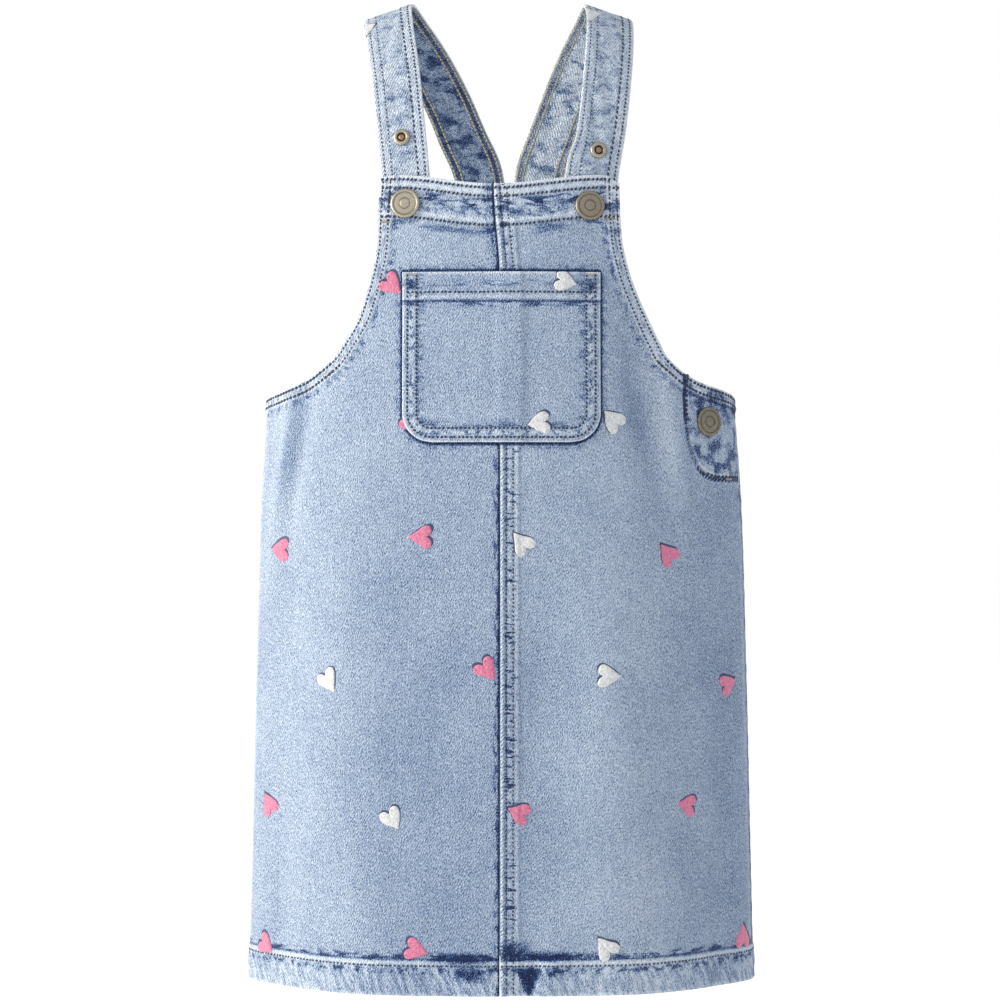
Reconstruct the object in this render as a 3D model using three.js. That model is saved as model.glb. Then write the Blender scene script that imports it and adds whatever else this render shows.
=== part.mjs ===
// A child's denim pinafore dress, filled out as if worn: two front panels, one back panel,
// a patch pocket, two crossed-in shoulder straps, their press studs and a side button.
// Millimetres, +Z up. The front faces -Y and the wearer's left is at +X.
// The origin lies midway between the two straps, about level with their undersides at the shoulders.
import * as THREE from "three";

// Cloth
const WALL = 1.2; // one layer of denim
const GAP = 0.3; // between pieces at a seam
const STEP = 0.7; // width of the slope up to a doubled edge
const DOUBLED = 0.6; // rise where a hem or a turned edge doubles the cloth
const LAPPED = 0.8; // rise of the lapped seam down the front

// Dress
const HEM_Z = -573;
const UNDERARM_Z = -228;
const HEM_BAND = 20;
const EDGE_BAND = 8;
const TOP_BAND = 24;
const LAP = 10.5;
const BIB_TOP = { corner: -98.5, middle: -104 };
const BACK_TOP = { corner: -96, middle: -98 };
const TOP_DIP = { from: -200, to: -130, share: 0.85 }; // rows above these heights dip in the middle
const SEAM_LEAN = { from: -160, to: -104, shift: -3.6 }; // the front seam leans as it goes up the bib
const SIDE_SEAM = { left: 84, right: 88 }; // degrees round from the middle of the front
const BACK_DRIFT = 6; // the top of the back sits this far to the wearer's left

// Level sections of the dress: how far it reaches to the wearer's left and right, and its depth
// before and behind the widest line.
const SECTIONS = [
  { z: -573, left: 151.8, right: 150.2, front: 74, back: 71 },
  { z: -480, left: 149.6, right: 147.8, front: 72, back: 69 },
  { z: -390, left: 147.5, right: 145.6, front: 69.5, back: 67 },
  { z: -290, left: 144.4, right: 142.7, front: 66.5, back: 64.5 },
  { z: -228, left: 140, right: 139.2, front: 63.5, back: 62 },
  { z: -150, left: 138, right: 138, front: 58.5, back: 60 },
  { z: -90, left: 137, right: 137, front: 52.5, back: 57.5 },
  { z: 0, left: 136, right: 136, front: 44, back: 52 },
];

// The cut of the armholes, from the underarm up: distance out from the middle at each height.
const FRONT_ARMHOLE = [
  { z: -223.6, left: 131, right: 129 },
  { z: -217, left: 113.5, right: 114 },
  { z: -206, left: 98.5, right: 98.5 },
  { z: -194.5, left: 92, right: 90 },
  { z: -183, left: 86.8, right: 83.2 },
  { z: -171.5, left: 81.6, right: 79 },
  { z: -160, left: 77, right: 75.8 },
  { z: -148, left: 73.5, right: 73 },
  { z: -136.5, left: 71.2, right: 71.6 },
  { z: -118, left: 70, right: 71 },
  { z: -98.5, left: 69.6, right: 69.6 },
];
const BACK_ARMHOLE = [
  { z: -223, left: 126, right: 126 },
  { z: -214, left: 110, right: 110 },
  { z: -198, left: 92, right: 92 },
  { z: -177, left: 76, right: 76 },
  { z: -152, left: 62, right: 62 },
  { z: -127, left: 50, right: 50 },
  { z: -108, left: 42.5, right: 42.5 },
  { z: -96, left: 38.5, right: 38.5 },
];

// Soft folds: where each lies, how far it stands out or in, how wide and long it is,
// and how many degrees it moves round in 100 mm downwards. The first four make the skirt's front
// flat between two soft corners.
const FOLDS = [
  { angle: 31, z: -480, rise: 4.4, wide: 13, long: 190, lean: 0 },
  { angle: -31, z: -480, rise: 4.4, wide: 13, long: 190, lean: 0 },
  { angle: 62, z: -480, rise: -3.6, wide: 12, long: 190, lean: 0 },
  { angle: -62, z: -480, rise: -3.6, wide: 12, long: 190, lean: 0 },
  { angle: 37, z: -232, rise: -4.8, wide: 5, long: 46, lean: 7 },
  { angle: 46, z: -248, rise: 2.2, wide: 5, long: 46, lean: 6 },
  { angle: 71, z: -246, rise: 3.4, wide: 8, long: 32, lean: 2 },
  { angle: -58, z: -262, rise: -3.4, wide: 4.5, long: 44, lean: -10 },
  { angle: -66, z: -300, rise: 1.8, wide: 6, long: 70, lean: -4 },
  { angle: -43, z: -400, rise: 2.2, wide: 9, long: 75, lean: -3 },
  { angle: 24, z: -395, rise: 1.8, wide: 9, long: 60, lean: 3 },
  { angle: 9, z: -430, rise: -1.6, wide: 8, long: 90, lean: -1 },
  { angle: 5, z: -566, rise: -2.4, wide: 2.6, long: 16, lean: -8 },
  { angle: 62, z: -500, rise: -1.8, wide: 6, long: 60, lean: -4 },
  { angle: 140, z: -250, rise: -3, wide: 7, long: 50, lean: -9 },
  { angle: -136, z: -262, rise: -2.6, wide: 6, long: 54, lean: 8 },
  { angle: 158, z: -420, rise: 2.2, wide: 9, long: 85, lean: 2 },
  { angle: -155, z: -460, rise: -2, wide: 8, long: 80, lean: 2 },
  { angle: 116, z: -480, rise: 1.8, wide: 8, long: 70, lean: -3 },
];

// Patch pocket
const POCKET = {
  top: -155.8,
  bottom: -254.6,
  left: -56.2,
  right: 57.8,
  corner: 17,
  wall: 1.3,
  bandDepth: 16,
};

// Straps: two layers of denim. "out" is measured from the strap pair's own middle line, which
// drifts to the wearer's left behind. Tilt and yaw turn the strap's width, in degrees.
const STRAP = { wall: 2, steps: 44, columns: 4 };
const STRAP_SECTIONS = [
  { out: 52.8, y: -53, z: -136, tilt: 0, yaw: 11, drift: 0, width: 29 },
  { out: 55, y: -47.8, z: -101, tilt: 0, yaw: 11, drift: 0, width: 29 },
  { out: 59, y: -43.2, z: -69, tilt: -1, yaw: 9, drift: 0.9, width: 29 },
  { out: 62.6, y: -34, z: -36, tilt: -6, yaw: 7, drift: 1, width: 29 },
  { out: 65.6, y: -18.5, z: -8, tilt: -15, yaw: 5, drift: 0, width: 29 },
  { out: 65.4, y: 0, z: 4.8, tilt: -18.5, yaw: 4, drift: -1, width: 30.2 },
  { out: 57.8, y: 17, z: -5.6, tilt: -18.5, yaw: 1, drift: 0.6, width: 30.2 },
  { out: 46.5, y: 32, z: -23, tilt: -14, yaw: -3, drift: 2.3, width: 29.6 },
  { out: 36.8, y: 42.5, z: -42.5, tilt: -8, yaw: -4, drift: 3.7, width: 29.8 },
  { out: 28.3, y: 49, z: -63, tilt: -4, yaw: -4, drift: 4.4, width: 30.2 },
  { out: 19.4, y: 54, z: -86, tilt: -1, yaw: -2, drift: 5.4, width: 31 },
  { out: 16.4, y: 58, z: -112, tilt: 0, yaw: -2, drift: 6, width: 31 },
];

// Metal, in lathe profiles of radius and height
const CAP_SIDES = 28;
const CAP_PROFILE = [
  [0, 0], [8, 0], [8.65, 0.6], [8.65, 1.3], [8.2, 1.9], [6.6, 2.25], [6.2, 2],
  [3.7, 2.1], [3.3, 2.5], [2.4, 2.5], [2, 2.2], [0, 2.2],
];
const CAP_CLEARANCE = 0.15; // the cloth curves a little under a cap
const STUD_SIDES = 24;
const STUD_PROFILE = [
  [0, 0], [4.6, 0], [4.9, 0.5], [4.7, 1.2], [3.7, 1.7], [2.7, 1.5], [2.3, 0.5],
  [1.7, 0.8], [0.9, 1.15], [0, 1.2],
];
const CAPS = {
  bib_snap_left: { x: 52.1, z: -117 },
  bib_snap_right: { x: -54.9, z: -115.6 },
  side_button: { x: 122.4, z: -242 },
};
const STUDS = { strap_stud_left: { side: 1, z: -84 }, strap_stud_right: { side: -1, z: -76 } };

const denim = new THREE.MeshStandardMaterial({ color: 0x9db4d2, roughness: 0.92, metalness: 0 });
const strapDenim = new THREE.MeshStandardMaterial({ color: 0x8fa8c8, roughness: 0.92, metalness: 0 });
const nickel = new THREE.MeshStandardMaterial({ color: 0xb4aea0, roughness: 0.38, metalness: 1 });

const radians = THREE.MathUtils.degToRad;
const lerp = THREE.MathUtils.lerp;

// A column of a table at any height, place or share, as a smooth curve through the rows.
function read(table, key, at, column) {
  const up = table[1][key] > table[0][key] ? 1 : -1;
  let i = 0;
  while (i < table.length - 2 && up * (at - table[i + 1][key]) > 0) i += 1;
  const [a, b] = [table[i], table[i + 1]];
  const before = table[i - 1] ?? a;
  const after = table[i + 2] ?? b;
  const span = b[key] - a[key];
  const t = THREE.MathUtils.clamp((at - a[key]) / span, 0, 1);
  const slopeA = ((b[column] - before[column]) / (b[key] - before[key])) * span;
  const slopeB = ((after[column] - a[column]) / (after[key] - a[key])) * span;
  const [t2, t3] = [t * t, t * t * t];
  return (
    a[column] * (2 * t3 - 3 * t2 + 1) +
    slopeA * (t3 - 2 * t2 + t) +
    b[column] * (3 * t2 - 2 * t3) +
    slopeB * (t3 - t2)
  );
}

function smooth(t) {
  const s = THREE.MathUtils.clamp(t, 0, 1);
  return s * s * (3 - 2 * s);
}

// How far the folds push the cloth out at a place.
function drape(angle, z) {
  const degrees = THREE.MathUtils.radToDeg(angle);
  return FOLDS.reduce((sum, fold) => {
    const across = (degrees - fold.angle - (fold.lean * (fold.z - z)) / 100) / fold.wide;
    const along = (z - fold.z) / fold.long;
    return sum + fold.rise * Math.exp(-across * across - along * along);
  }, 0);
}

// The outer face of the cloth: angle round from the middle of the front, height, and lift off it.
function skin(angle, z, lift = 0) {
  const half = read(SECTIONS, "z", z, angle < 0 ? "right" : "left");
  const behind = Math.cos(angle) < 0;
  const depth = read(SECTIONS, "z", z, behind ? "back" : "front");
  const out = new THREE.Vector2(Math.sin(angle) / half, -Math.cos(angle) / depth).normalize();
  const far = lift + drape(angle, z);
  const upper = smooth((z - UNDERARM_Z) / (BACK_TOP.corner - UNDERARM_Z));
  const drift = behind ? BACK_DRIFT * upper * Math.cos(angle) ** 2 : 0;
  return new THREE.Vector3(
    half * Math.sin(angle) + out.x * far + drift,
    -depth * Math.cos(angle) + out.y * far,
    z,
  );
}

// The angle at which the front or the back is x out from its middle line.
function angleAt(x, z, behind = false) {
  const half = read(SECTIONS, "z", z, x < 0 ? "right" : "left");
  const angle = Math.asin(THREE.MathUtils.clamp(x / half, -1, 1));
  return behind ? Math.sign(x || 1) * Math.PI - angle : angle;
}

// A closed solid between two like grids of points.
function closedWall(outer, inner) {
  const rows = outer.length;
  const columns = outer[0].length;
  const points = [...outer.flat(), ...inner.flat()];
  const at = (face, row, column) => face * rows * columns + row * columns + column;
  const index = [];
  const quad = (a, b, c, d) => index.push(a, b, c, a, c, d);
  for (let r = 0; r + 1 < rows; r += 1)
    for (let c = 0; c + 1 < columns; c += 1) {
      quad(at(0, r, c), at(0, r, c + 1), at(0, r + 1, c + 1), at(0, r + 1, c));
      quad(at(1, r, c), at(1, r + 1, c), at(1, r + 1, c + 1), at(1, r, c + 1));
    }
  for (let c = 0; c + 1 < columns; c += 1) {
    quad(at(0, 0, c), at(1, 0, c), at(1, 0, c + 1), at(0, 0, c + 1));
    quad(at(0, rows - 1, c), at(0, rows - 1, c + 1), at(1, rows - 1, c + 1), at(1, rows - 1, c));
  }
  for (let r = 0; r + 1 < rows; r += 1) {
    quad(at(0, r, 0), at(0, r + 1, 0), at(1, r + 1, 0), at(1, r, 0));
    quad(at(0, r, columns - 1), at(1, r, columns - 1), at(1, r + 1, columns - 1), at(0, r + 1, columns - 1));
  }
  const volume = index.reduce((sum, _, i) => {
    if (i % 3) return sum;
    const [a, b, c] = [points[index[i]], points[index[i + 1]], points[index[i + 2]]];
    return sum + a.dot(b.clone().cross(c));
  }, 0);
  if (volume < 0) index.reverse();
  const geometry = new THREE.BufferGeometry().setFromPoints(points);
  geometry.setIndex(index);
  geometry.computeVertexNormals();
  return geometry;
}

// The armhole's edge as a curve of angle from the panel's middle line and height.
function armholeCurve(cut) {
  const side = cut.side > 0 ? "left" : "right";
  const points = cut.armhole.map((row) => {
    const angle = Math.abs(angleAt(cut.side * row[side], row.z));
    return new THREE.Vector2(angle, row.z);
  });
  points.unshift(new THREE.Vector2(cut.seam, UNDERARM_Z));
  // Radians are stretched to millimetres here, so that the curve is even.
  const stretch = SECTIONS.find((section) => section.z === UNDERARM_Z)[side];
  const curve = new THREE.SplineCurve(points.map((p) => new THREE.Vector2(p.x * stretch, p.y)));
  return (share) => {
    const point = curve.getPointAt(share);
    return { angle: point.x / stretch, z: point.y };
  };
}

// The rows of half a panel, each from the middle line to the side seam or the armhole.
function panelRows(cut) {
  const { skirtRows, armholeRows, turn } = cut;
  const rows = [];
  const alongSeam = (edgeZ) => {
    const share = (edgeZ - HEM_Z) / (UNDERARM_Z - HEM_Z);
    rows.push({ middleZ: lerp(HEM_Z, turn, share), angle: cut.seam, z: edgeZ });
  };
  [HEM_Z, HEM_Z + HEM_BAND, HEM_Z + HEM_BAND + STEP].forEach(alongSeam);
  const skirtTop = UNDERARM_Z - EDGE_BAND - STEP;
  for (let i = 1; i <= skirtRows; i += 1)
    alongSeam(lerp(HEM_Z + HEM_BAND + STEP, skirtTop, i / skirtRows));
  [UNDERARM_Z - EDGE_BAND, UNDERARM_Z].forEach(alongSeam);
  const armhole = armholeCurve(cut);
  const bandFrom = cut.top.corner - TOP_BAND;
  let bandShare = 1;
  while (armhole(bandShare).z > bandFrom) bandShare -= 0.002;
  for (let i = 1; i <= armholeRows; i += 1) {
    const share = (bandShare * i) / armholeRows;
    rows.push({ middleZ: lerp(turn, cut.top.middle - TOP_BAND - STEP, i / armholeRows), ...armhole(share) });
  }
  const stepShare = bandShare + 0.004;
  rows.push({ middleZ: cut.top.middle - TOP_BAND, ...armhole(stepShare) });
  rows.push({ middleZ: cut.top.middle - TOP_BAND / 2, ...armhole((stepShare + 1) / 2) });
  rows.push({ middleZ: cut.top.middle, ...armhole(1) });
  return rows;
}

// An angle from a panel's middle line as an angle round the dress.
function roundTo(angle, cut) {
  return cut.side * (cut.behind ? Math.PI - angle : angle);
}

// How far the front seam lies from the middle at a height.
function seamX(z) {
  return SEAM_LEAN.shift * smooth((z - SEAM_LEAN.from) / (SEAM_LEAN.to - SEAM_LEAN.from));
}

// Places along one row, at set distances from its two ends and evenly between.
function rowPlaces(row, cut) {
  const start = cut.behind ? 0 : cut.side * angleAt(seamX(row.middleZ), row.middleZ);
  const dipped = smooth((row.middleZ - TOP_DIP.from) / (TOP_DIP.to - TOP_DIP.from));
  const climb = (share) => lerp(share * share, smooth(share / TOP_DIP.share), dipped);
  const place = (share) => ({
    angle: lerp(start, row.angle, share),
    z: lerp(row.middleZ, row.z, climb(share)),
  });
  const toSkin = ({ angle, z }) => skin(roundTo(angle, cut), z);
  const fine = 48;
  const far = [0];
  for (let i = 1; i <= fine; i += 1)
    far.push(far[i - 1] + toSkin(place(i / fine)).distanceTo(toSkin(place((i - 1) / fine))));
  const length = far[fine];
  const shareAt = (distance) => {
    let i = 1;
    while (i < fine && far[i] < distance) i += 1;
    return (i - 1 + (distance - far[i - 1]) / (far[i] - far[i - 1])) / fine;
  };
  const first = cut.fromMiddle;
  const last = [length - EDGE_BAND - STEP, length - EDGE_BAND, length - GAP / 2];
  const between = [];
  for (let i = 1; i < cut.columns; i += 1)
    between.push(lerp(first.at(-1), last[0], i / cut.columns));
  return [...first, ...between, ...last].map((distance) => ({
    ...place(shareAt(distance)),
    fromMiddle: distance,
    fromEdge: length - distance,
  }));
}

// The rise of the outer face at one place of a panel.
function relief(place, row, cut) {
  const aboveHem = row.z - HEM_Z;
  const belowTop = cut.top.middle - row.middleZ;
  const nearArmhole = row.z >= UNDERARM_Z - EDGE_BAND && place.fromEdge <= EDGE_BAND + STEP / 2;
  const hemmed = aboveHem <= HEM_BAND + STEP / 2;
  const topped = belowTop <= TOP_BAND + STEP / 2;
  const lapped = cut.lapped && place.fromMiddle <= LAP;
  return Math.max(nearArmhole || hemmed || topped ? DOUBLED : 0, lapped ? LAPPED : 0);
}

// Half a panel's outer and inner points.
function halfPanel(cut) {
  const grids = { outer: [], inner: [] };
  for (const row of panelRows(cut)) {
    const places = rowPlaces(row, cut);
    const rounds = places.map((p) => roundTo(p.angle, cut));
    grids.outer.push(places.map((p, i) => skin(rounds[i], p.z, relief(p, row, cut))));
    grids.inner.push(places.map((p, i) => skin(rounds[i], p.z, -WALL)));
  }
  return grids;
}

function cutOf(options) {
  return { skirtRows: 17, armholeRows: 15, columns: 11, ...options };
}

const FRONT_LEFT = cutOf({
  side: 1, armhole: FRONT_ARMHOLE, top: BIB_TOP, seam: radians(SIDE_SEAM.left), turn: -292,
  fromMiddle: [GAP / 2, LAP, LAP + STEP], lapped: true,
});
const FRONT_RIGHT = { ...FRONT_LEFT, side: -1, seam: radians(SIDE_SEAM.right), lapped: false };
const BACK_LEFT = cutOf({
  side: 1, armhole: BACK_ARMHOLE, top: BACK_TOP, seam: radians(180 - SIDE_SEAM.left), turn: -286,
  fromMiddle: [0], behind: true,
});
const BACK_RIGHT = { ...BACK_LEFT, side: -1, seam: radians(180 - SIDE_SEAM.right) };

function frontPanel(cut) {
  const { outer, inner } = halfPanel(cut);
  return closedWall(outer, inner);
}

function backPanel() {
  const left = halfPanel(BACK_LEFT);
  const right = halfPanel(BACK_RIGHT);
  const join = (face) => left[face].map((row, r) => [...right[face][r].toReversed(), ...row.slice(1)]);
  return closedWall(join("outer"), join("inner"));
}

// The rise of the front panels under the pocket, carried a little past the lapped seam.
function underPocket(x) {
  return LAPPED * smooth((x + 2.5) / 1.5) * smooth((LAP + 4 - x) / 2);
}

// The pocket: a square patch with round lower corners, moved out from the front's own points.
function frontPocket() {
  const { top, bottom, left, right, corner, wall, bandDepth } = POCKET;
  const inset = (z) => {
    const up = z - bottom;
    return up >= corner ? 0 : corner - Math.sqrt(corner ** 2 - (corner - up) ** 2);
  };
  const heights = [];
  for (let i = 0; i < 5; i += 1) heights.push(bottom + corner * (1 - Math.cos((Math.PI / 2) * (i / 5))));
  for (let i = 0; i <= 6; i += 1) heights.push(lerp(bottom + corner, top - bandDepth - STEP, i / 6));
  heights.push(top - bandDepth, top - bandDepth / 2, top);
  const grid = (lift) =>
    heights.map((z) => {
      const [from, to] = [left + inset(z), right - inset(z)];
      const banded = z >= top - bandDepth ? DOUBLED : 0;
      const marks = [-3, -1, LAP + 2, LAP + 4];
      const places = [
        ...[0, 0.2, 0.4, 0.6, 0.8].map((share) => lerp(from, marks[0], share)),
        ...marks,
        ...[0.2, 0.4, 0.6, 0.8, 1].map((share) => lerp(marks.at(-1), to, share)),
      ];
      return places.map((x) => skin(angleAt(x, z), z, underPocket(x) + lift(banded)));
    });
  return closedWall(grid((banded) => GAP + wall + banded), grid(() => GAP));
}

// A strap's rows of outer points, from its end behind the bib, over the shoulder, to the back.
function strapRows(side) {
  const last = STRAP_SECTIONS.length - 1;
  const table = STRAP_SECTIONS.map((section, i) => ({ ...section, at: i / last }));
  const centre = (at) => {
    const [out, y, z] = ["out", "y", "z"].map((column) => read(table, "at", at, column));
    return new THREE.Vector3(side * out + read(table, "at", at, "drift"), y, z);
  };
  const rows = [];
  for (let r = 0; r <= STRAP.steps; r += 1) {
    const at = r / STRAP.steps;
    const before = centre(Math.max(0, at - 0.01));
    const along = centre(Math.min(1, at + 0.01)).sub(before).normalize();
    const tilt = radians(read(table, "at", at, "tilt"));
    const yaw = radians(read(table, "at", at, "yaw"));
    const across = new THREE.Vector3(
      side * Math.cos(yaw) * Math.cos(tilt),
      Math.sin(yaw),
      Math.sin(tilt),
    ).normalize();
    const square = along.clone().cross(across).length();
    const halfWidth = read(table, "at", at, "width") / 2 / square;
    const row = [];
    for (let c = 0; c <= STRAP.columns; c += 1) {
      const share = (2 * c) / STRAP.columns - 1;
      row.push(tucked(centre(at).addScaledVector(across, share * halfWidth)));
    }
    rows.push(row);
  }
  return rows;
}

// A point of a strap's outer face, moved inside the bib or the back where it would cross it.
function tucked(point) {
  const behind = point.y > 0;
  const covered = point.z < (behind ? BACK_TOP.corner : BIB_TOP.corner) + 14;
  if (!covered) return point;
  const x = behind ? point.x - BACK_DRIFT : point.x;
  const limit = skin(angleAt(x, point.z, behind), point.z, -WALL - GAP).y;
  const y = behind ? Math.min(point.y, limit) : Math.max(point.y, limit);
  return new THREE.Vector3(point.x, y, point.z);
}

// Unit normals of a grid of points, turned towards the outside of the strap.
function gridNormals(rows) {
  const pick = (r, c) => rows[THREE.MathUtils.clamp(r, 0, rows.length - 1)][c];
  return rows.map((row, r) =>
    row.map((_, c) => {
      const along = pick(r + 1, c).clone().sub(pick(r - 1, c));
      const across = row[Math.min(c + 1, row.length - 1)].clone().sub(row[Math.max(c - 1, 0)]);
      return along.cross(across).normalize();
    }),
  );
}

function strap(side) {
  const outer = strapRows(side);
  const normals = gridNormals(outer);
  // The cloth's inner face lies towards the hollow under the strap.
  const hollow = new THREE.Vector3(side * 60, 0, -70);
  const middle = outer[Math.floor(outer.length / 2)][2];
  const sense = normals[Math.floor(outer.length / 2)][2].dot(hollow.sub(middle)) > 0 ? 1 : -1;
  const inner = outer.map((row, r) =>
    row.map((point, c) => point.clone().addScaledVector(normals[r][c], sense * STRAP.wall)),
  );
  return closedWall(outer, inner);
}

// A turned metal piece that stands at a point along a direction.
function turned(profile, sides, foot, direction) {
  const geometry = new THREE.LatheGeometry(profile.map(([r, h]) => new THREE.Vector2(r, h)), sides);
  const mesh = new THREE.Mesh(geometry, nickel);
  mesh.quaternion.setFromUnitVectors(new THREE.Vector3(0, 1, 0), direction);
  mesh.position.copy(foot);
  return mesh;
}

function cap({ x, z }) {
  const angle = angleAt(x, z);
  const round = skin(angle + 0.01, z).sub(skin(angle - 0.01, z));
  const up = skin(angle, z + 1).sub(skin(angle, z - 1));
  const direction = round.cross(up).normalize();
  const rise = z > BIB_TOP.corner - TOP_BAND ? DOUBLED : 0;
  const foot = skin(angle, z, rise).addScaledVector(direction, GAP + CAP_CLEARANCE);
  return turned(CAP_PROFILE, CAP_SIDES, foot, direction);
}

// A spare stud on the outer face of a strap's front run.
function stud({ side, z }) {
  const rows = strapRows(side);
  const middle = STRAP.columns / 2;
  const normals = gridNormals(rows);
  let r = 1;
  while (rows[r + 1][middle].z < z) r += 1;
  const share = (z - rows[r][middle].z) / (rows[r + 1][middle].z - rows[r][middle].z);
  const foot = rows[r][middle].clone().lerp(rows[r + 1][middle], share);
  const direction = normals[r][middle].clone().lerp(normals[r + 1][middle], share).normalize();
  if (direction.y > 0) direction.negate();
  return turned(STUD_PROFILE, STUD_SIDES, foot.addScaledVector(direction, GAP), direction);
}

const garment = new THREE.Group();
const add = (name, mesh) => {
  mesh.name = name;
  garment.add(mesh);
};
add("front_left", new THREE.Mesh(frontPanel(FRONT_LEFT), denim));
add("front_right", new THREE.Mesh(frontPanel(FRONT_RIGHT), denim));
add("back", new THREE.Mesh(backPanel(), denim));
add("front_pocket", new THREE.Mesh(frontPocket(), denim));
add("strap_left", new THREE.Mesh(strap(1), strapDenim));
add("strap_right", new THREE.Mesh(strap(-1), strapDenim));
Object.entries(CAPS).forEach(([name, place]) => add(name, cap(place)));
Object.entries(STUDS).forEach(([name, place]) => add(name, stud(place)));

export default garment;
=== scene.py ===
# A child's denim pinafore dress, filled out as worn: fine cloth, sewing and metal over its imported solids.
# The front faces -Y and the wearer's left is at +X. Sizes are in millimetres until a mesh is made.
import math
import random

import bmesh
import bpy
import numpy as np
from mathutils import Matrix, Vector
from mathutils.bvhtree import BVHTree


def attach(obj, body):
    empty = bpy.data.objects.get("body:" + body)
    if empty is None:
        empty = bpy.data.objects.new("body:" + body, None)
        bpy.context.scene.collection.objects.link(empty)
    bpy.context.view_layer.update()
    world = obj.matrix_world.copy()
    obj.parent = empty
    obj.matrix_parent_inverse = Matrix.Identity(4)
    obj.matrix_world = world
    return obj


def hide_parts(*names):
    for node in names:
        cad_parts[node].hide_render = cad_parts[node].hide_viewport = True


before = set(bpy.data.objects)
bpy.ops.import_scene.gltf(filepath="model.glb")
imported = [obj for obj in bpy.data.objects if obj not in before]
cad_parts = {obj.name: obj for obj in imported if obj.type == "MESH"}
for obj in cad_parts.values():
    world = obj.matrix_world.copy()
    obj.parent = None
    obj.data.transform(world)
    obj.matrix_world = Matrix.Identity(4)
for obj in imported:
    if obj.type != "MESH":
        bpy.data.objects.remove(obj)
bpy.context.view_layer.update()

MM = 0.001


def rows_of(columns, *rows):
    """Rows of values under named columns."""
    names = columns.split()
    return [dict(zip(names, row)) for row in rows]


# Cloth, as in the solids
WALL = 1.2
GAP = 0.3
DOUBLED = 0.6
LAPPED = 0.8
HEM_Z = -573
UNDERARM_Z = -228
HEM_BAND = 20
EDGE_BAND = 8
TOP_BAND = 24
LAP = 10.5
TOP_DIP = {"from": -200, "to": -130, "share": 0.85}
SEAM_LEAN = {"from": -160, "to": -104, "shift": -3.6}
BIB_TOP = {"corner": -98.5, "middle": -104}
BACK_TOP = {"corner": -96, "middle": -98}
SIDE_SEAM = {"left": 84, "right": 88}
BACK_DRIFT = 6

SECTIONS = rows_of(
    "z left right front back",
    (-573, 151.8, 150.2, 74, 71),
    (-480, 149.6, 147.8, 72, 69),
    (-390, 147.5, 145.6, 69.5, 67),
    (-290, 144.4, 142.7, 66.5, 64.5),
    (-228, 140, 139.2, 63.5, 62),
    (-150, 138, 138, 58.5, 60),
    (-90, 137, 137, 52.5, 57.5),
    (0, 136, 136, 44, 52),
)
FRONT_ARMHOLE = rows_of(
    "z left right",
    (-223.6, 131, 129),
    (-217, 113.5, 114),
    (-206, 98.5, 98.5),
    (-194.5, 92, 90),
    (-183, 86.8, 83.2),
    (-171.5, 81.6, 79),
    (-160, 77, 75.8),
    (-148, 73.5, 73),
    (-136.5, 71.2, 71.6),
    (-118, 70, 71),
    (-98.5, 69.6, 69.6),
)
BACK_ARMHOLE = rows_of(
    "z left right",
    (-223, 126, 126),
    (-214, 110, 110),
    (-198, 92, 92),
    (-177, 76, 76),
    (-152, 62, 62),
    (-127, 50, 50),
    (-108, 42.5, 42.5),
    (-96, 38.5, 38.5),
)
# Folds: degrees round from the middle of the front, height, rise of the cloth, width in degrees, length up
# and down, and degrees that it moves round in 100 mm downwards. The solids have these too; the first four
# make the skirt's front flat between two soft corners.
FOLDS = rows_of(
    "angle z rise wide long lean",
    (31, -480, 4.4, 13, 190, 0),
    (-31, -480, 4.4, 13, 190, 0),
    (62, -480, -3.6, 12, 190, 0),
    (-62, -480, -3.6, 12, 190, 0),
    (37, -232, -4.8, 5, 46, 7),
    (46, -248, 2.2, 5, 46, 6),
    (71, -246, 3.4, 8, 32, 2),
    (-58, -262, -3.4, 4.5, 44, -10),
    (-66, -300, 1.8, 6, 70, -4),
    (-43, -400, 2.2, 9, 75, -3),
    (24, -395, 1.8, 9, 60, 3),
    (9, -430, -1.6, 8, 90, -1),
    (5, -566, -2.4, 2.6, 16, -8),
    (62, -500, -1.8, 6, 60, -4),
    (140, -250, -3, 7, 50, -9),
    (-136, -262, -2.6, 6, 54, 8),
    (158, -420, 2.2, 9, 85, 2),
    (-155, -460, -2, 8, 80, 2),
    (116, -480, 1.8, 8, 70, -3),
)
# Finer creases, which the solids leave out
CREASES = rows_of(
    "angle z rise wide long lean",
    (-70, -262, -0.8, 2.2, 22, -30),
    (32, -205, -0.7, 2, 24, 12),
    (44, -212, 0.7, 2, 20, 16),
    (72, -292, -0.9, 3, 12, 40),
    (77, -310, 0.7, 3, 14, 30),
    (-76, -240, -0.7, 3, 10, -40),
    (-24, -470, -0.6, 3, 60, 2),
    (34, -520, 0.6, 3, 50, -2),
    (-62, -520, -0.6, 3, 40, 0),
    (150, -205, -0.8, 2.6, 24, -14),
    (-148, -214, -0.8, 2.6, 24, 14),
    (104, -262, -0.8, 3, 20, 30),
    (-104, -258, -0.8, 3, 20, -30),
    (172, -300, 0.7, 4, 70, 2),
    (7, -566, -1.8, 1.2, 14, -9),
    (11, -560, 0.9, 2.4, 16, -4),
    (-8, -562, 0.7, 2, 14, 6),
    (80, -284, -0.9, 4, 3, 0),
    (79, -294, -0.7, 4, 3, 0),
    (-128, -500, 0.7, 4, 60, 2),
)
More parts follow.
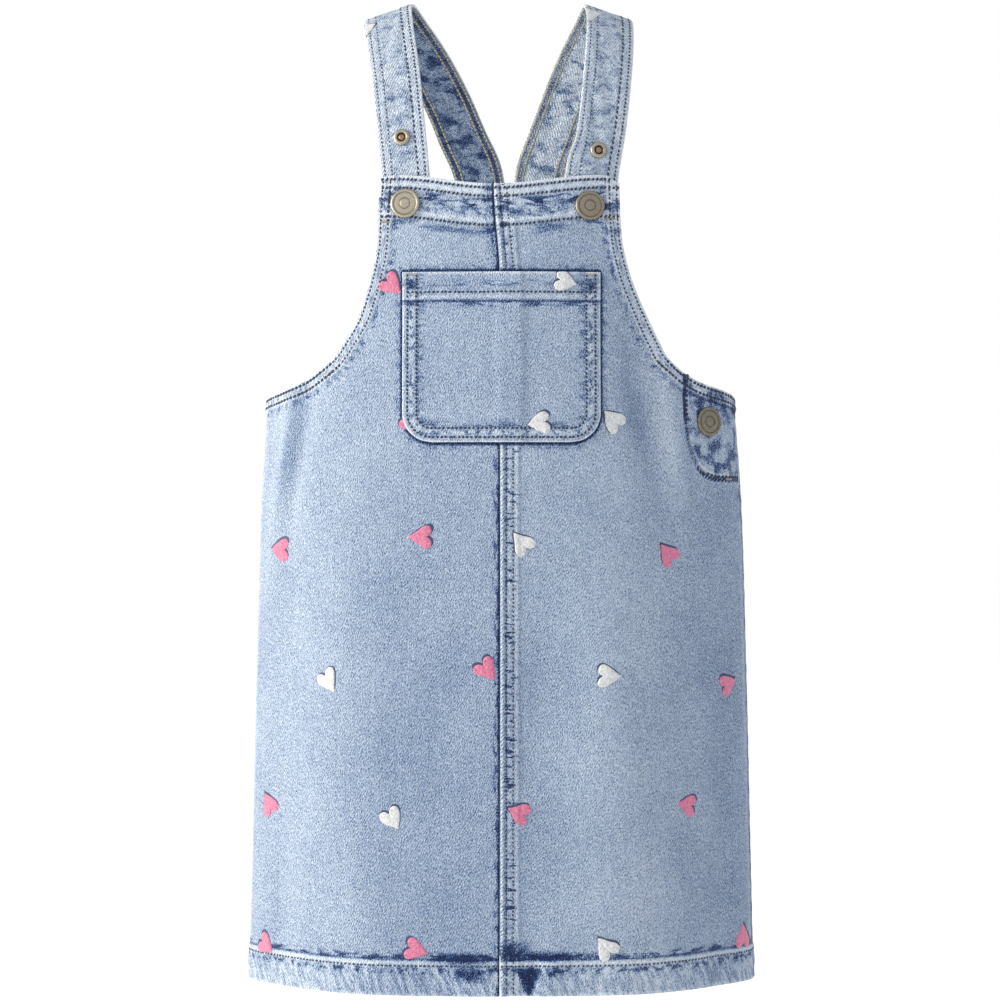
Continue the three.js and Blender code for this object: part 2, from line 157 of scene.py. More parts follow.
# Tone along the folds: painted shade in their valleys and painted highlight on their ridges, with some wear,
# in the same columns; the rise here is of its tone.
FOLD_SHADE_AND_WEAR = rows_of(
    "angle z rise wide long lean",
    (34, -240, -0.13, 4, 34, 7),
    (43.5, -250, 0.15, 4, 40, 6),
    (50, -262, -0.06, 3, 22, 2),
    (30, -180, -0.04, 8, 50, 2),
    (16, -140, -0.05, 9, 28, 0),
    (64, -420, -0.045, 16, 300, 0),
    (29, -420, 0.07, 12, 300, 0),
    (-21, -430, -0.045, 11, 260, 0),
    (-12, -520, -0.03, 14, 80, 0),
    (-58, -420, 0.05, 24, 300, 0),
    (-61, -250, -0.15, 4.5, 42, -10),
    (-69, -262, 0.08, 3.5, 44, -10),
    (35, -540, 0.03, 8, 60, 0),
    (81, -286, -0.24, 4, 2.4, 0),
    (81, -298, -0.18, 3, 2.0, 0),
)
POCKET = {
    "left": -56.2,
    "right": 57.8,
    "bottom": -254.6,
    "top": -155.8,
    "corner": 17,
    "wall": 1.3,
    "band": 16,
}
HALF_STRAP = 14.5
STRAP_SECTIONS = rows_of(
    "out y z tilt yaw drift width",
    (52.8, -53, -136, 0, 11, 0, 29),
    (55, -47.8, -101, 0, 11, 0, 29),
    (59, -43.2, -69, -1, 9, 0.9, 29),
    (62.6, -34, -36, -6, 7, 1, 29),
    (65.6, -18.5, -8, -15, 5, 0, 29),
    (65.4, 0, 4.8, -18.5, 4, -1, 30.2),
    (57.8, 17, -5.6, -18.5, 1, 0.6, 30.2),
    (46.5, 32, -23, -14, -3, 2.3, 29.6),
    (36.8, 42.5, -42.5, -8, -4, 3.7, 29.8),
    (28.3, 49, -63, -4, -4, 4.4, 30.2),
    (19.4, 54, -86, -1, -2, 5.4, 31),
    (16.4, 58, -112, 0, -2, 6, 31),
)
STRAP_WALL = 2

# The camera, level with the middle of the dress
CAMERA = {"distance": 1700, "height": -288, "lens": 102, "sensor": 36}


# Form of the dress


def smooth(t):
    t = np.clip(t, 0, 1)
    return t * t * (3 - 2 * t)


def lerp(a, b, t):
    return a + (b - a) * t


def read(table, key, at, column):
    """A column of a table at any place, as a smooth curve through its rows."""
    keys = np.array([row[key] for row in table], float)
    values = np.array([row[column] for row in table], float)
    at = np.asarray(at, float)
    last = len(keys) - 1
    i = np.clip(np.searchsorted(keys, at, side="right") - 1, 0, last - 1)
    before = np.maximum(i - 1, 0)
    after = np.minimum(i + 2, last)
    span = keys[i + 1] - keys[i]
    t = np.clip((at - keys[i]) / span, 0, 1)
    slope_a = (values[i + 1] - values[before]) / (keys[i + 1] - keys[before]) * span
    slope_b = (values[after] - values[i]) / (keys[after] - keys[i]) * span
    t2 = t * t
    t3 = t2 * t
    return (
        values[i] * (2 * t3 - 3 * t2 + 1)
        + slope_a * (t3 - 2 * t2 + t)
        + values[i + 1] * (3 * t2 - 2 * t3)
        + slope_b * (t3 - t2)
    )


def side_reach(x, z):
    return np.where(x < 0, read(SECTIONS, "z", z, "right"), read(SECTIONS, "z", z, "left"))


def drape(angle, z, folds):
    """How far these folds push the cloth out at a place."""
    degrees = np.degrees(angle)
    total = np.zeros(np.broadcast(angle, z).shape)
    for fold in folds:
        across = (degrees - fold["angle"] - fold["lean"] * (fold["z"] - z) / 100) / fold["wide"]
        along = (z - fold["z"]) / fold["long"]
        total = total + fold["rise"] * np.exp(-across * across - along * along)
    return total


def skin(angle, z, lift=0.0):
    """The cloth's outer face: angle round from the middle of the front, height, and lift off it."""
    angle, z, lift = np.broadcast_arrays(np.asarray(angle, float), np.asarray(z, float), lift)
    half = side_reach(angle, z)
    behind = np.cos(angle) < 0
    depth = np.where(behind, read(SECTIONS, "z", z, "back"), read(SECTIONS, "z", z, "front"))
    out = np.stack([np.sin(angle) / half, -np.cos(angle) / depth], axis=-1)
    out = out / np.linalg.norm(out, axis=-1, keepdims=True)
    far = lift + drape(angle, z, FOLDS)
    upper = smooth((z - UNDERARM_Z) / (BACK_TOP["corner"] - UNDERARM_Z))
    drift = np.where(behind, BACK_DRIFT * upper * np.cos(angle) ** 2, 0)
    x = half * np.sin(angle) + out[..., 0] * far + drift
    y = -depth * np.cos(angle) + out[..., 1] * far
    return np.stack([x, y, z], axis=-1)


def angle_at(x, z, behind=False):
    """The angle at which the front or the back is x out from its middle line."""
    x = np.asarray(x, float)
    angle = np.arcsin(np.clip(x / side_reach(x, z), -1, 1))
    return np.where(x < 0, -np.pi - angle, np.pi - angle) if behind else angle


def surface(angle, z, lift=0.0):
    """Points of the cloth and their outward normals."""
    points = skin(angle, z, lift)
    around = skin(np.asarray(angle) + 0.002, z, lift) - skin(np.asarray(angle) - 0.002, z, lift)
    up = skin(angle, np.asarray(z) + 0.5, lift) - skin(angle, np.asarray(z) - 0.5, lift)
    normals = np.cross(around, up)
    return points, normals / np.linalg.norm(normals, axis=-1, keepdims=True)


def run_of(line):
    """How far along a line of points each one is."""
    steps = np.linalg.norm(np.diff(line, axis=0), axis=-1)
    return np.concatenate([[0.0], np.cumsum(steps)])


def even(line, count):
    """The same line, at evenly spaced points."""
    run = run_of(line)
    at = np.linspace(0, run[-1], count)
    return np.stack([np.interp(at, run, line[:, k]) for k in range(line.shape[1])], axis=-1)


def spline(knots, steps=60):
    """A smooth curve through knots."""
    knots = np.asarray(knots, float)
    t = np.linspace(0, 1, steps, endpoint=False)[:, None]
    runs = []
    for i in range(len(knots) - 1):
        a, b = knots[i], knots[i + 1]
        slope_a = (b - knots[max(i - 1, 0)]) / 2
        slope_b = (knots[min(i + 2, len(knots) - 1)] - a) / 2
        runs.append(
            (2 * a - 2 * b + slope_a + slope_b) * t**3
            + (-3 * a + 3 * b - 2 * slope_a - slope_b) * t**2
            + slope_a * t
            + a
        )
    return np.concatenate([*runs, knots[-1:]])


def distance_to(points, line):
    """Distance from each point to a line of points, and how far along the line the nearest place is."""
    flat = points.reshape(-1, 3)
    run = run_of(line)
    best = np.full(len(flat), np.inf)
    along = np.zeros(len(flat))
    for a, b, start in zip(line[:-1], line[1:], run):
        step = b - a
        t = np.clip(((flat - a) @ step) / (step @ step), 0, 1)
        away = np.linalg.norm(flat - a - t[:, None] * step, axis=1)
        closer = away < best
        best[closer] = away[closer]
        along[closer] = start + t[closer] * np.linalg.norm(step)
    shape = points.shape[:-1]
    return best.reshape(shape), along.reshape(shape)


def waver(x, period, seed):
    """A smooth, uneven wave between about -1 and 1."""
    draw = random.Random(seed)
    total = 0
    for share in (1, 0.62, 0.41, 0.27):
        total = total + share * np.sin(2 * np.pi * (x / (period * (0.6 + share)) + draw.random()))
    return total / 1.6


def stations(*runs):
    """Distances from nought, in runs of a length and a step."""
    found = [0.0]
    for length, step in runs:
        count = max(1, round(length / step))
        found += [found[-1] + length * (i + 1) / count for i in range(count)]
    return np.array(found)


# Panels


def panel_cut(side, armhole, top, seam, turn, behind=False, rounded=0.0):
    return {
        "side": side,
        "armhole": armhole,
        "top": top,
        "seam": math.radians(seam),
        "turn": turn,
        "behind": behind,
        "rounded": rounded,
    }


FRONT_LEFT = panel_cut(1, FRONT_ARMHOLE, BIB_TOP, SIDE_SEAM["left"], -292, rounded=4.5)
FRONT_RIGHT = panel_cut(-1, FRONT_ARMHOLE, BIB_TOP, SIDE_SEAM["right"], -292, rounded=1.2)
BACK_LEFT = panel_cut(1, BACK_ARMHOLE, BACK_TOP, 180 - SIDE_SEAM["left"], -286, behind=True)
BACK_RIGHT = panel_cut(-1, BACK_ARMHOLE, BACK_TOP, 180 - SIDE_SEAM["right"], -286, behind=True)


def seam_x(z):
    """How far the front seam lies from the middle at a height."""
    return SEAM_LEAN["shift"] * smooth((z - SEAM_LEAN["from"]) / (SEAM_LEAN["to"] - SEAM_LEAN["from"]))


def climb(share, middle_z):
    """How a row rises from the middle line to its end: the rows near the top dip in the middle."""
    dipped = smooth((middle_z - TOP_DIP["from"]) / (TOP_DIP["to"] - TOP_DIP["from"]))
    return lerp(share**2, smooth(share / TOP_DIP["share"]), dipped)


def round_to(angle, cut):
    """An angle from a panel's middle line as an angle round the dress."""
    return cut["side"] * (np.pi - angle if cut["behind"] else angle)


def armhole_line(cut, count=240):
    """The armhole's edge, as angles from the panel's middle and heights, evenly spaced from below."""
    side = "left" if cut["side"] > 0 else "right"
    stretch = float(read(SECTIONS, "z", UNDERARM_Z, side))
    knots = [(cut["seam"] * stretch, UNDERARM_Z)]
    for row in cut["armhole"]:
        angle = abs(float(angle_at(cut["side"] * row[side], row["z"])))
        knots.append((angle * stretch, row["z"]))
    line = even(spline(knots), count)
    return line[:, 0] / stretch, line[:, 1]


def panel_rows(cut):
    """Rows of half a panel: height at the middle line, and angle and height at the side or armhole."""
    rows = []
    tall = UNDERARM_Z - HEM_Z
    for up in stations((24, 1.2), (tall - 36, 2.4), (12, 1.5)):
        rows.append((lerp(HEM_Z, cut["turn"], up / tall), cut["seam"], HEM_Z + up))
    angles, heights = armhole_line(cut)
    shares = np.linspace(0, 1, len(heights))
    band_share = float(np.interp(cut["top"]["corner"] - TOP_BAND, heights, shares))
    band_z = cut["top"]["middle"] - TOP_BAND
    below = [
        (share, lerp(cut["turn"], band_z, share / band_share))
        for share in np.linspace(0, band_share, 82)
    ]
    above = [
        (share, lerp(band_z, cut["top"]["middle"], (share - band_share) / (1 - band_share)))
        for share in np.linspace(band_share, 1, 24)
    ]
    for share, middle_z in below[1:] + above[1:]:
        edge_angle, edge_z = (float(np.interp(share, shares, line)) for line in (angles, heights))
        rows.append((middle_z, edge_angle, edge_z))
    return rows


def half_panel(cut, first, last, between):
    """Angles, heights and distances from the middle line of half a panel's grid, row by row."""
    angles, heights, across = [], [], []
    share = np.linspace(0, 1, 60)
    for middle_z, edge_angle, edge_z in panel_rows(cut):
        start = 0.0 if cut["behind"] else cut["side"] * float(angle_at(seam_x(middle_z), middle_z))
        angle = lerp(start, edge_angle, share)
        z = lerp(middle_z, edge_z, climb(share, middle_z))
        line = skin(round_to(angle, cut), z)
        run = run_of(line)
        flat_run = run_of(line[:, :2])
        length = run[-1]
        near = GAP / 2 + first if not cut["behind"] else first
        far = length - GAP / 2 - last[::-1]
        places = np.concatenate([near, np.linspace(near[-1], far[0], between + 1)[1:-1], far])
        angles.append(np.interp(places, run, angle))
        near_corner = smooth(1 - (length - places) / 9) * smooth(1 - (cut["top"]["corner"] - edge_z) / 14)
        heights.append(np.interp(places, run, z) - cut["rounded"] * near_corner)
        across.append(np.interp(places, run, flat_run))
    return {"angle": np.array(angles), "z": np.array(heights), "across": np.array(across)}


def panel_edges(cut, flat):
    """Lines of points along the finished edges and the side seam of half a panel."""
    angles, heights = armhole_line(cut, 120)
    seam_z = np.linspace(HEM_Z, UNDERARM_Z, 120)
    return {
        "arm": skin(round_to(angles, cut), heights),
        "side": skin(round_to(np.full(120, cut["seam"]), cut), seam_z),
        "top": skin(round_to(flat["angle"][-1], cut), flat["z"][-1]),
    }


def bell(distance, at, width):
    """1 at a distance, falling away softly on both sides of it."""
    return np.exp(-(((distance - at) / width) ** 2))


def lap_profile(across):
    """The rise of the lapped seam: a rounded fold, then two sewn valleys and the flat end."""
    places = [0, 0.3, 0.8, 1.6, 2.3, 2.9, 3.7, 5.6, 7.5, 9, 10.5, 11.6]
    rises = [0.3, 0.9, 1.25, 1.25, 0.95, 0.55, 0.35, 0.72, 0.40, 0.6, 0.5, 0]
    return np.interp(across, places, rises)


STITCH_ROWS = {"hem": [17.2], "arm": [1.9, 6.2], "top": [2.6, 7.6, 24.6]}
LAP_ROWS = [3.7, 7.5]

# The button placket's edge of stitches on the wearer's left, from the armhole down to the side seam.
PLACKET = rows_of(
    "x z",
    (108, -214),
    (107.8, -239),
    (109.5, -252.5),
    (113.6, -264),
    (119, -271.8),
    (127.5, -275.6),
    (140.6, -275.8),
)


def placket_line():
    return spline([(float(angle_at(p["x"], p["z"])), p["z"]) for p in PLACKET], 16)


# Puckers of the sewn edges: rise, length of a wave, its seed, and the distance and half width of their strip
PUCKERS = rows_of(
    "edge rise wave seed at wide",
    ("arm", 0.13, 4.6, 6, 5, 4.5),
    ("top", 0.15, 5.2, 7, 7, 5),
    ("top", 0.14, 7, 8, 22, 5),
    ("side", 0.16, 9, 9, 0, 8),
)
ROW_DENT = {"deep": 0.16, "wide": 0.9}


def relief(cut, flat, near, lapped):
    """The rise of the cloth over its plain form, from how far each place is from the seams and edges."""
    z, across = flat["z"], flat["across"]
    around = across * cut["side"]
    distances = {"hem": z - HEM_Z, **{key: found[0] for key, found in near.items()}}
    hem, side = distances["hem"], distances["side"]
    bands = {"hem": HEM_BAND, "arm": EDGE_BAND, "top": TOP_BAND}
    doubled = [smooth((width + 0.35 - distances[key]) / 0.7) for key, width in bands.items()]
    rise = DOUBLED * np.max(doubled, axis=0)
    for key, rows in STITCH_ROWS.items():
        for row in rows:
            rise -= ROW_DENT["deep"] * bell(distances[key], row, ROW_DENT["wide"])
    # Roping twists the hem, and smaller puckers cross the sewn edges.
    rope = np.sin(2 * np.pi * (around / 7.5 + hem / 16) + 1.4 * waver(around, 40, 3))
    rope *= smooth(hem / 4) * smooth((HEM_BAND + 3 - hem) / 5) * (0.6 + 0.4 * waver(around, 31, 4))
    rise += 0.3 * rope + 0.25 * waver(around, 26, 5) * bell(hem, 13, 9)
    for row in PUCKERS:
        distance, run = near[row["edge"]]
        rise += row["rise"] * waver(run, row["wave"], row["seed"]) * bell(distance, row["at"], row["wide"])
    rise += 0.3 * bell(side, 5, 4) - 0.4 * bell(side, 0, 1.3)
    if lapped:
        rope = np.sin(2 * np.pi * (z / 2.9 - across / 5)) * (0.7 + 0.3 * waver(z, 20, 11))
        lap = lap_profile(across) + 0.14 * rope * smooth(3.4 - across)
        lap += 0.17 * waver(z, 6, 12) * smooth((LAP + 1 - across) / 3)
        rise = np.maximum(rise, lap) + 0.1 * waver(z, 8, 13) * bell(across, LAP, 5)
    elif not cut["behind"]:
        rise = rise * smooth(0.3 + across / 2.5) - 0.35 * bell(across, 0, 1.2)
        rise += 0.12 * waver(z, 8, 14) * bell(across, 0, 6)
    return rise + drape(round_to(flat["angle"], cut), z, CREASES)


def placket_share(angle, z):
    """1 within the placket, 0 outside it, and the distance from its edge of stitches."""
    line = placket_line()
    points = skin(angle, z)
    away, _ = distance_to(points, skin(line[:, 0], line[:, 1]))
    edge = np.interp(z, line[::-1, 1], line[::-1, 0])
    within = (angle > edge) & (z > PLACKET[-1]["z"])
    return within, away


def beyond_pocket(angle, z):
    """How far a place on a panel lies outside the pocket's outline, or inside it where negative."""
    x = skin(angle, z)[..., 0]
    corner = np.where(z < (POCKET["top"] + POCKET["bottom"]) / 2, POCKET["corner"], 1.0)
    across = np.maximum(x - POCKET["right"], POCKET["left"] - x) + corner
    up = np.maximum(z - POCKET["top"], POCKET["bottom"] - z) + corner
    outside = np.hypot(np.maximum(across, 0), np.maximum(up, 0))
    return outside + np.minimum(np.maximum(across, up), 0) - corner


# Meshes


def grid_mesh(name, points, values=None, grain=None):
    """A sheet of faces through a grid of points in millimetres, with named values at its points."""
    rows, columns = points.shape[:2]
    bm = bmesh.new()
    bmesh.ops.create_grid(bm, x_segments=columns - 1, y_segments=rows - 1, size=1)
    mesh = bpy.data.meshes.new(name)
    bm.to_mesh(mesh)
    bm.free()
    mesh.vertices.foreach_set("co", (points.reshape(-1, 3) * MM).ravel())
    for key, value in (values or {}).items():
        layer = mesh.attributes.new(key, "FLOAT", "POINT")
        layer.data.foreach_set("value", np.ascontiguousarray(value, dtype=np.float32).ravel())
    if grain is not None:
        loops = np.empty(len(mesh.loops), dtype=np.int32)
        mesh.loops.foreach_get("vertex_index", loops)
        layer = mesh.uv_layers.new(name="grain")
        layer.data.foreach_set("uv", (grain.reshape(-1, 2)[loops] * MM).ravel())
    mesh.polygons.foreach_set("use_smooth", [True] * len(mesh.polygons))
    mesh.update()
    return mesh


def show(name, mesh, *finishes):
    piece = bpy.data.objects.new(name, mesh)
    bpy.context.scene.collection.objects.link(piece)
    for finish in finishes:
        mesh.materials.append(finish)
    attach(piece, "root")
    return piece


def thicken(piece, wall, inside_finish, edge=0.35):
    """Gives a sheet its thickness inwards, and rounds its cut edges."""
    shell = piece.modifiers.new("wall", "SOLIDIFY")
    shell.thickness = wall * MM
    shell.offset = -1
    shell.use_even_offset = False
    shell.material_offset = 1 if inside_finish else 0
    rounding = piece.modifiers.new("turned edge", "BEVEL")
    rounding.width = edge * MM
    rounding.segments = 2
    rounding.limit_method = "ANGLE"
    rounding.angle_limit = math.radians(60)


class Cloth:
    """A grid of cloth that sewing can be laid on."""

    def __init__(self, name, points):
        self.name = name
        self.points = points
        rows, columns = points.shape[:2]
        index = np.arange(rows * columns).reshape(rows, columns)
        quads = np.stack([index[:-1, :-1], index[:-1, 1:], index[1:, 1:], index[1:, :-1]], axis=-1)
        self.tree = BVHTree.FromPolygons(points.reshape(-1, 3).tolist(), quads.reshape(-1, 4).tolist())

    def settle(self, points, normals, gather=False):
        """Each point moved onto the cloth along its normal, with the cloth's own normal.

        A point that misses is left out, or gathered in to the cloth's edge.
        """
        kept, outward = [], []
        for point, normal in zip(points, normals):
            away = Vector(normal)
            start = Vector(point) + away * 6
            place, face, _, _ = self.tree.ray_cast(start, -away, 14)
            if place is None and gather:
                place, face, _, _ = self.tree.find_nearest(Vector(point), 14)
            if place is not None:
                kept.append(place)
                outward.append(face if face.dot(away) > 0 else -face)
        return np.array(kept), np.array(outward)


FAR = 90.0


def panel_piece(name, cuts, finishes, lapped=False):
    """A front or back panel's piece, from one half or from two joined at the middle."""
    parts = []
    for cut in cuts:
        behind = cut["behind"]
        first = np.array([0.0]) if behind else stations((LAP + 2, 0.6))
        flat = half_panel(cut, first, stations((9.5, 0.86)), 66)
        angle, z, across = round_to(flat["angle"], cut), flat["z"], flat["across"]
        plain = skin(angle, z)
        near = {key: distance_to(plain, line) for key, line in panel_edges(cut, flat).items()}
        rise = relief(cut, flat, near, lapped)
        placket = np.zeros(angle.shape)
        placket_edge = under = np.full(angle.shape, FAR)
        if not behind:
            under = beyond_pocket(angle, z)
            # Under the pocket the cloth is pressed flat.
            rise = lerp(rise, np.minimum(rise, LAPPED), smooth(-under / 3))
        if lapped:
            within, placket_edge = placket_share(angle, z)
            placket = within * smooth(placket_edge / 0.8)
            rise += 0.45 * placket - 0.3 * bell(placket_edge, 0, 1.1)
            rise += 0.25 * waver(z + 40 * angle, 9, 17) * placket
        sideways = 400 - cut["side"] * across if behind else across * (1 if lapped else -1)
        part = {
            "points": skin(angle, z, rise),
            "grain": np.stack([sideways, z], axis=-1),
            "hem": z - HEM_Z,
            **{key: found[0] for key, found in near.items()},
            "lap": np.full(angle.shape, FAR) if behind else across,
            "placket": placket,
            "placket_edge": placket_edge,
            "under": under,
            # The worn value is painted shade in the folds' valleys and painted highlight on their ridges,
            # with some wear.
            "worn": drape(angle, z, FOLD_SHADE_AND_WEAR),
        }
        # Columns go round in the sense in which faces point outwards.
        if (cut["side"] > 0) == behind:
            part = {key: value[:, ::-1] for key, value in part.items()}
        parts.append(part)
    values = parts[0]
    for part in parts[1:]:
        values = {key: np.concatenate([values[key], part[key][:, 1:]], axis=1) for key in values}
    points, grain = values.pop("points"), values.pop("grain")
    piece = show(name, grid_mesh(name, points, values, grain), *finishes)
    thicken(piece, WALL, inside_finish=True)
    return piece, Cloth(name, points)


# Finishes


class Finish:
    """A material, and short words for the nodes that make it."""

    def __init__(self, name):
        self.material = bpy.data.materials.new(name)
        self.material.use_nodes = True
        self.tree = self.material.node_tree
        self.shader = self.tree.nodes["Principled BSDF"]

    def node(self, kind, inputs=(), **settings):
        made = self.tree.nodes.new("ShaderNode" + kind)
        for key, value in settings.items():
            setattr(made, key, value)
        for key, value in dict(inputs).items():
            self.set(made.inputs[key], value)
        return made

    def set(self, socket, value):
        if isinstance(value, bpy.types.NodeSocket):
            self.tree.links.new(value, socket)
        else:
            socket.default_value = value

    def shade(self, **inputs):
        for key, value in inputs.items():
            self.set(self.shader.inputs[key.replace("_", " ")], value)

    def math(self, operation, a, b=0.0, c=0.0):
        made = self.node("Math", {0: a, 1: b, 2: c}, operation=operation)
        return made.outputs[0]

    def add(self, *terms):
        total = terms[0]
        for term in terms[1:]:
            total = self.math("ADD", total, term)
        return total

    def times(self, a, b):
        return self.math("MULTIPLY", a, b)

    def ramp(self, value, low, high, to_low=0.0, to_high=1.0):
        inputs = {"Value": value, "From Min": low, "From Max": high, "To Min": to_low, "To Max": to_high}
        return self.node("MapRange", inputs, interpolation_type="SMOOTHSTEP").outputs[0]

    def line(self, distance, at, width):
        """1 at a distance, falling to 0 at this far from it."""
        away = self.math("ABSOLUTE", self.math("SUBTRACT", distance, at))
        return self.ramp(away, 0, width, 1, 0)

    def value(self, name):
        return self.node("Attribute", attribute_name=name).outputs["Fac"]

    def grain(self):
        return self.node("UVMap", uv_map="grain").outputs["UV"]

    def noise(self, at, across, along=None, turn=0.0, detail=2.0, seed=0.0):
        """Uneven spots of this size in millimetres, longer along a direction that is turned from upright."""
        along = along or across
        mapped = self.node(
            "Mapping",
            {"Vector": at, "Rotation": (0, 0, math.radians(turn)), "Scale": (across * MM, along * MM, MM)},
            vector_type="TEXTURE",
        )
        inputs = {"Vector": mapped.outputs[0], "W": seed, "Scale": 1.0, "Detail": detail}
        return self.node("TexNoise", inputs, noise_dimensions="4D").outputs["Fac"]

    def stripes(self, at, pitch, turn, wander):
        """Even waves between -1 and 1, this far apart in millimetres, that run turned from upright."""
        mapped = self.node(
            "Mapping",
            {"Vector": at, "Rotation": (0, 0, math.radians(turn)), "Scale": (pitch * MM, 1, 1)},
            vector_type="TEXTURE",
        )
        across = self.node("SeparateXYZ", {"Vector": mapped.outputs[0]}).outputs["X"]
        return self.math("SINE", self.times(self.add(across, self.times(wander, 1.6)), 2 * math.pi))

    def colours(self, value, stops):
        made = self.node("ValToRGB", {"Fac": value})
        ramp = made.color_ramp
        while len(ramp.elements) < len(stops):
            ramp.elements.new(0.5)
        for element, (at, colour) in zip(ramp.elements, stops):
            element.position = at
            element.color = (*colour, 1)
        return made.outputs["Color"]

    def bump(self, height, distance, strength=1.0):
        made = self.node("Bump", {"Height": height, "Distance": distance * MM, "Strength": strength})
        return made.outputs["Normal"]


INDIGO = [
    (0.0, (0.005, 0.014, 0.060)),
    (0.2, (0.026, 0.062, 0.178)),
    (0.4, (0.100, 0.156, 0.280)),
    (0.6, (0.230, 0.298, 0.415)),
    (0.78, (0.355, 0.430, 0.552)),
    (1.0, (0.528, 0.590, 0.662)),
]
REVERSE = [
    (0.0, (0.16, 0.21, 0.32)),
    (0.5, (0.34, 0.41, 0.50)),
    (1.0, (0.62, 0.67, 0.73)),
]
TWILL_LEAN = -30
MARK_DEPTH = 1.3


def weave(finish, at, wale=1.0):
    """Twill of washed yarns: uneven slanting streaks and flecks, fine wales and soft clouds, about nought."""
    slant = finish.noise(at, 0.62, 1.6, -20, 0.5)
    fleck = finish.noise(at, 0.62, 0.8, 15, 0.0, 4.0)
    upright = finish.noise(at, 1.3, 60, 0, 2.0, 7.0)
    mottle = finish.noise(at, 4, 6, -20, 1.0, 9.0)
    cloud = finish.noise(at, 34, 46, 0, 1.0, 12.0)
    ridges = finish.stripes(at, 1.35, TWILL_LEAN, finish.noise(at, 5, seed=15.0))
    terms = [(slant, 0.80), (fleck, 0.74), (upright, 0.12), (mottle, 0.22), (cloud, 0.20)]
    parts = [finish.times(finish.math("SUBTRACT", value, 0.5), much) for value, much in terms]
    parts.append(finish.times(ridges, 0.035 * wale))
    height = finish.add(finish.times(ridges, 0.10 * wale), slant, finish.times(fleck, 0.8))
    # Stains take on some yarns more than on others.
    yarn = finish.ramp(fleck, 0.34, 0.66, 1.35, 0.65)
    return finish.add(*parts), height, yarn


def cloth_shader(finish, tone, height, roughness=0.86):
    finish.shade(
        Base_Color=finish.colours(tone, INDIGO),
        Roughness=roughness,
        Normal=finish.bump(height, 1.05),
    )
    finish.shader.inputs["Sheen Weight"].default_value = 0.12
    finish.shader.inputs["Sheen Roughness"].default_value = 0.5
    finish.shader.inputs["Specular IOR Level"].default_value = 0.12
    return finish.material


class Marks:
    """Sums of dark and light marks on a cloth's tone, uneven with its yarns."""

    def __init__(self, finish, yarn, distances, patches, *terms):
        self.finish = finish
        self.yarn = yarn
        self.distances = distances
        self.patches = patches
        self.terms = list(terms)

    def put(self, much, *where):
        """A mark where all of these are 1."""
        product = self.yarn
        for other in where:
            product = self.finish.times(product, other)
        self.terms.append(self.finish.times(product, MARK_DEPTH * much))

    def bands(self, rows):
        """Marks beside edges: how much paler, the edge, how far from it, half the width, the patches."""
        for much, edge, at, width, *patches in rows:
            line = self.finish.line(self.distances[edge], at, width)
            self.put(much, line, *(self.patches[key] for key in patches))

    def tone(self):
        return self.finish.add(*self.terms)


def spots(finish, at, across, along, seed, turn=0.0, low=0.46, high=0.60):
    """Patches of this size with soft, sharp-sided edges: 1 inside them and 0 between."""
    return finish.ramp(finish.noise(at, across, along, turn, 3.0, seed), low, high)


# Patches on the panels: size across and along, seed, and turn and limits where they aren't the usual ones
PANEL_PATCHES = {
    "level": (10, 3.0, 21.0),
    "broad": (22, 5, 22.0),
    "upright": (2.4, 8, 23.0),
    "blotch": (4.2, 4.0, 25.0),
    "hem_rope": (2.4, 12, 27.0, 24, 0.44, 0.56),
}
PANEL_MARKS = [
    (-0.46, "hem", 22.4, 3.2, "level"),
    (-0.22, "hem", 21.0, 1.2),
    (-0.38, "hem", 14.6, 3.6, "blotch"),
    (0.16, "hem", 19.2, 1.4),
    (0.12, "hem", 0, 2.4),
    (-0.26, "arm", 10, 3.2, "blotch"),
    (-0.26, "arm", 4.1, 1.8, "upright"),
    (0.17, "arm", 0.3, 1.6),
    (-0.68, "top", 12.0, 5.0, "level"),
    (0.08, "top", 14, 9),
    (-0.30, "top", 16, 8, "broad"),
    (-0.30, "top", 18, 6, "blotch"),
    (-0.26, "top", 28, 5.0, "broad"),
    (0.26, "top", 0.6, 2.6),
    (0.18, "top", 5.1, 2.4),
    (0.20, "top", 21.7, 2.4),
    (-0.28, "side", 1.2, 2.2, "upright"),
    (0.06, "side", 5.5, 3.2),
]


def panel_denim(name, base=0.60):
    """Light washed denim, worn pale on raised edges and left dark beside them and under the stitches."""
    finish = Finish(name)
    at = finish.grain()
    weft, height, yarn = weave(finish, at)
    distances = {key: finish.value(key) for key in ("hem", "arm", "top", "side")}
    patches = {key: spots(finish, at, *row) for key, row in PANEL_PATCHES.items()}
    # The worn value adds painted shade in the folds' valleys and painted highlight on their ridges, with some
    # wear.
    marks = Marks(finish, yarn, distances, patches, base, weft, finish.value("worn"))
    marks.bands(PANEL_MARKS)
    hem = distances["hem"]
    # Painted light: a little paler towards the top, where more light falls
    marks.put(0.045, finish.ramp(hem, 150, 480))
    marks.put(-0.16, finish.ramp(hem, 18, 15), patches["hem_rope"])
    marks.put(0.11, finish.ramp(hem, 19.4, 18.4))
    marks.put(0.10, finish.ramp(distances["arm"], 8.6, 7.6))
    return finish, marks, at, height


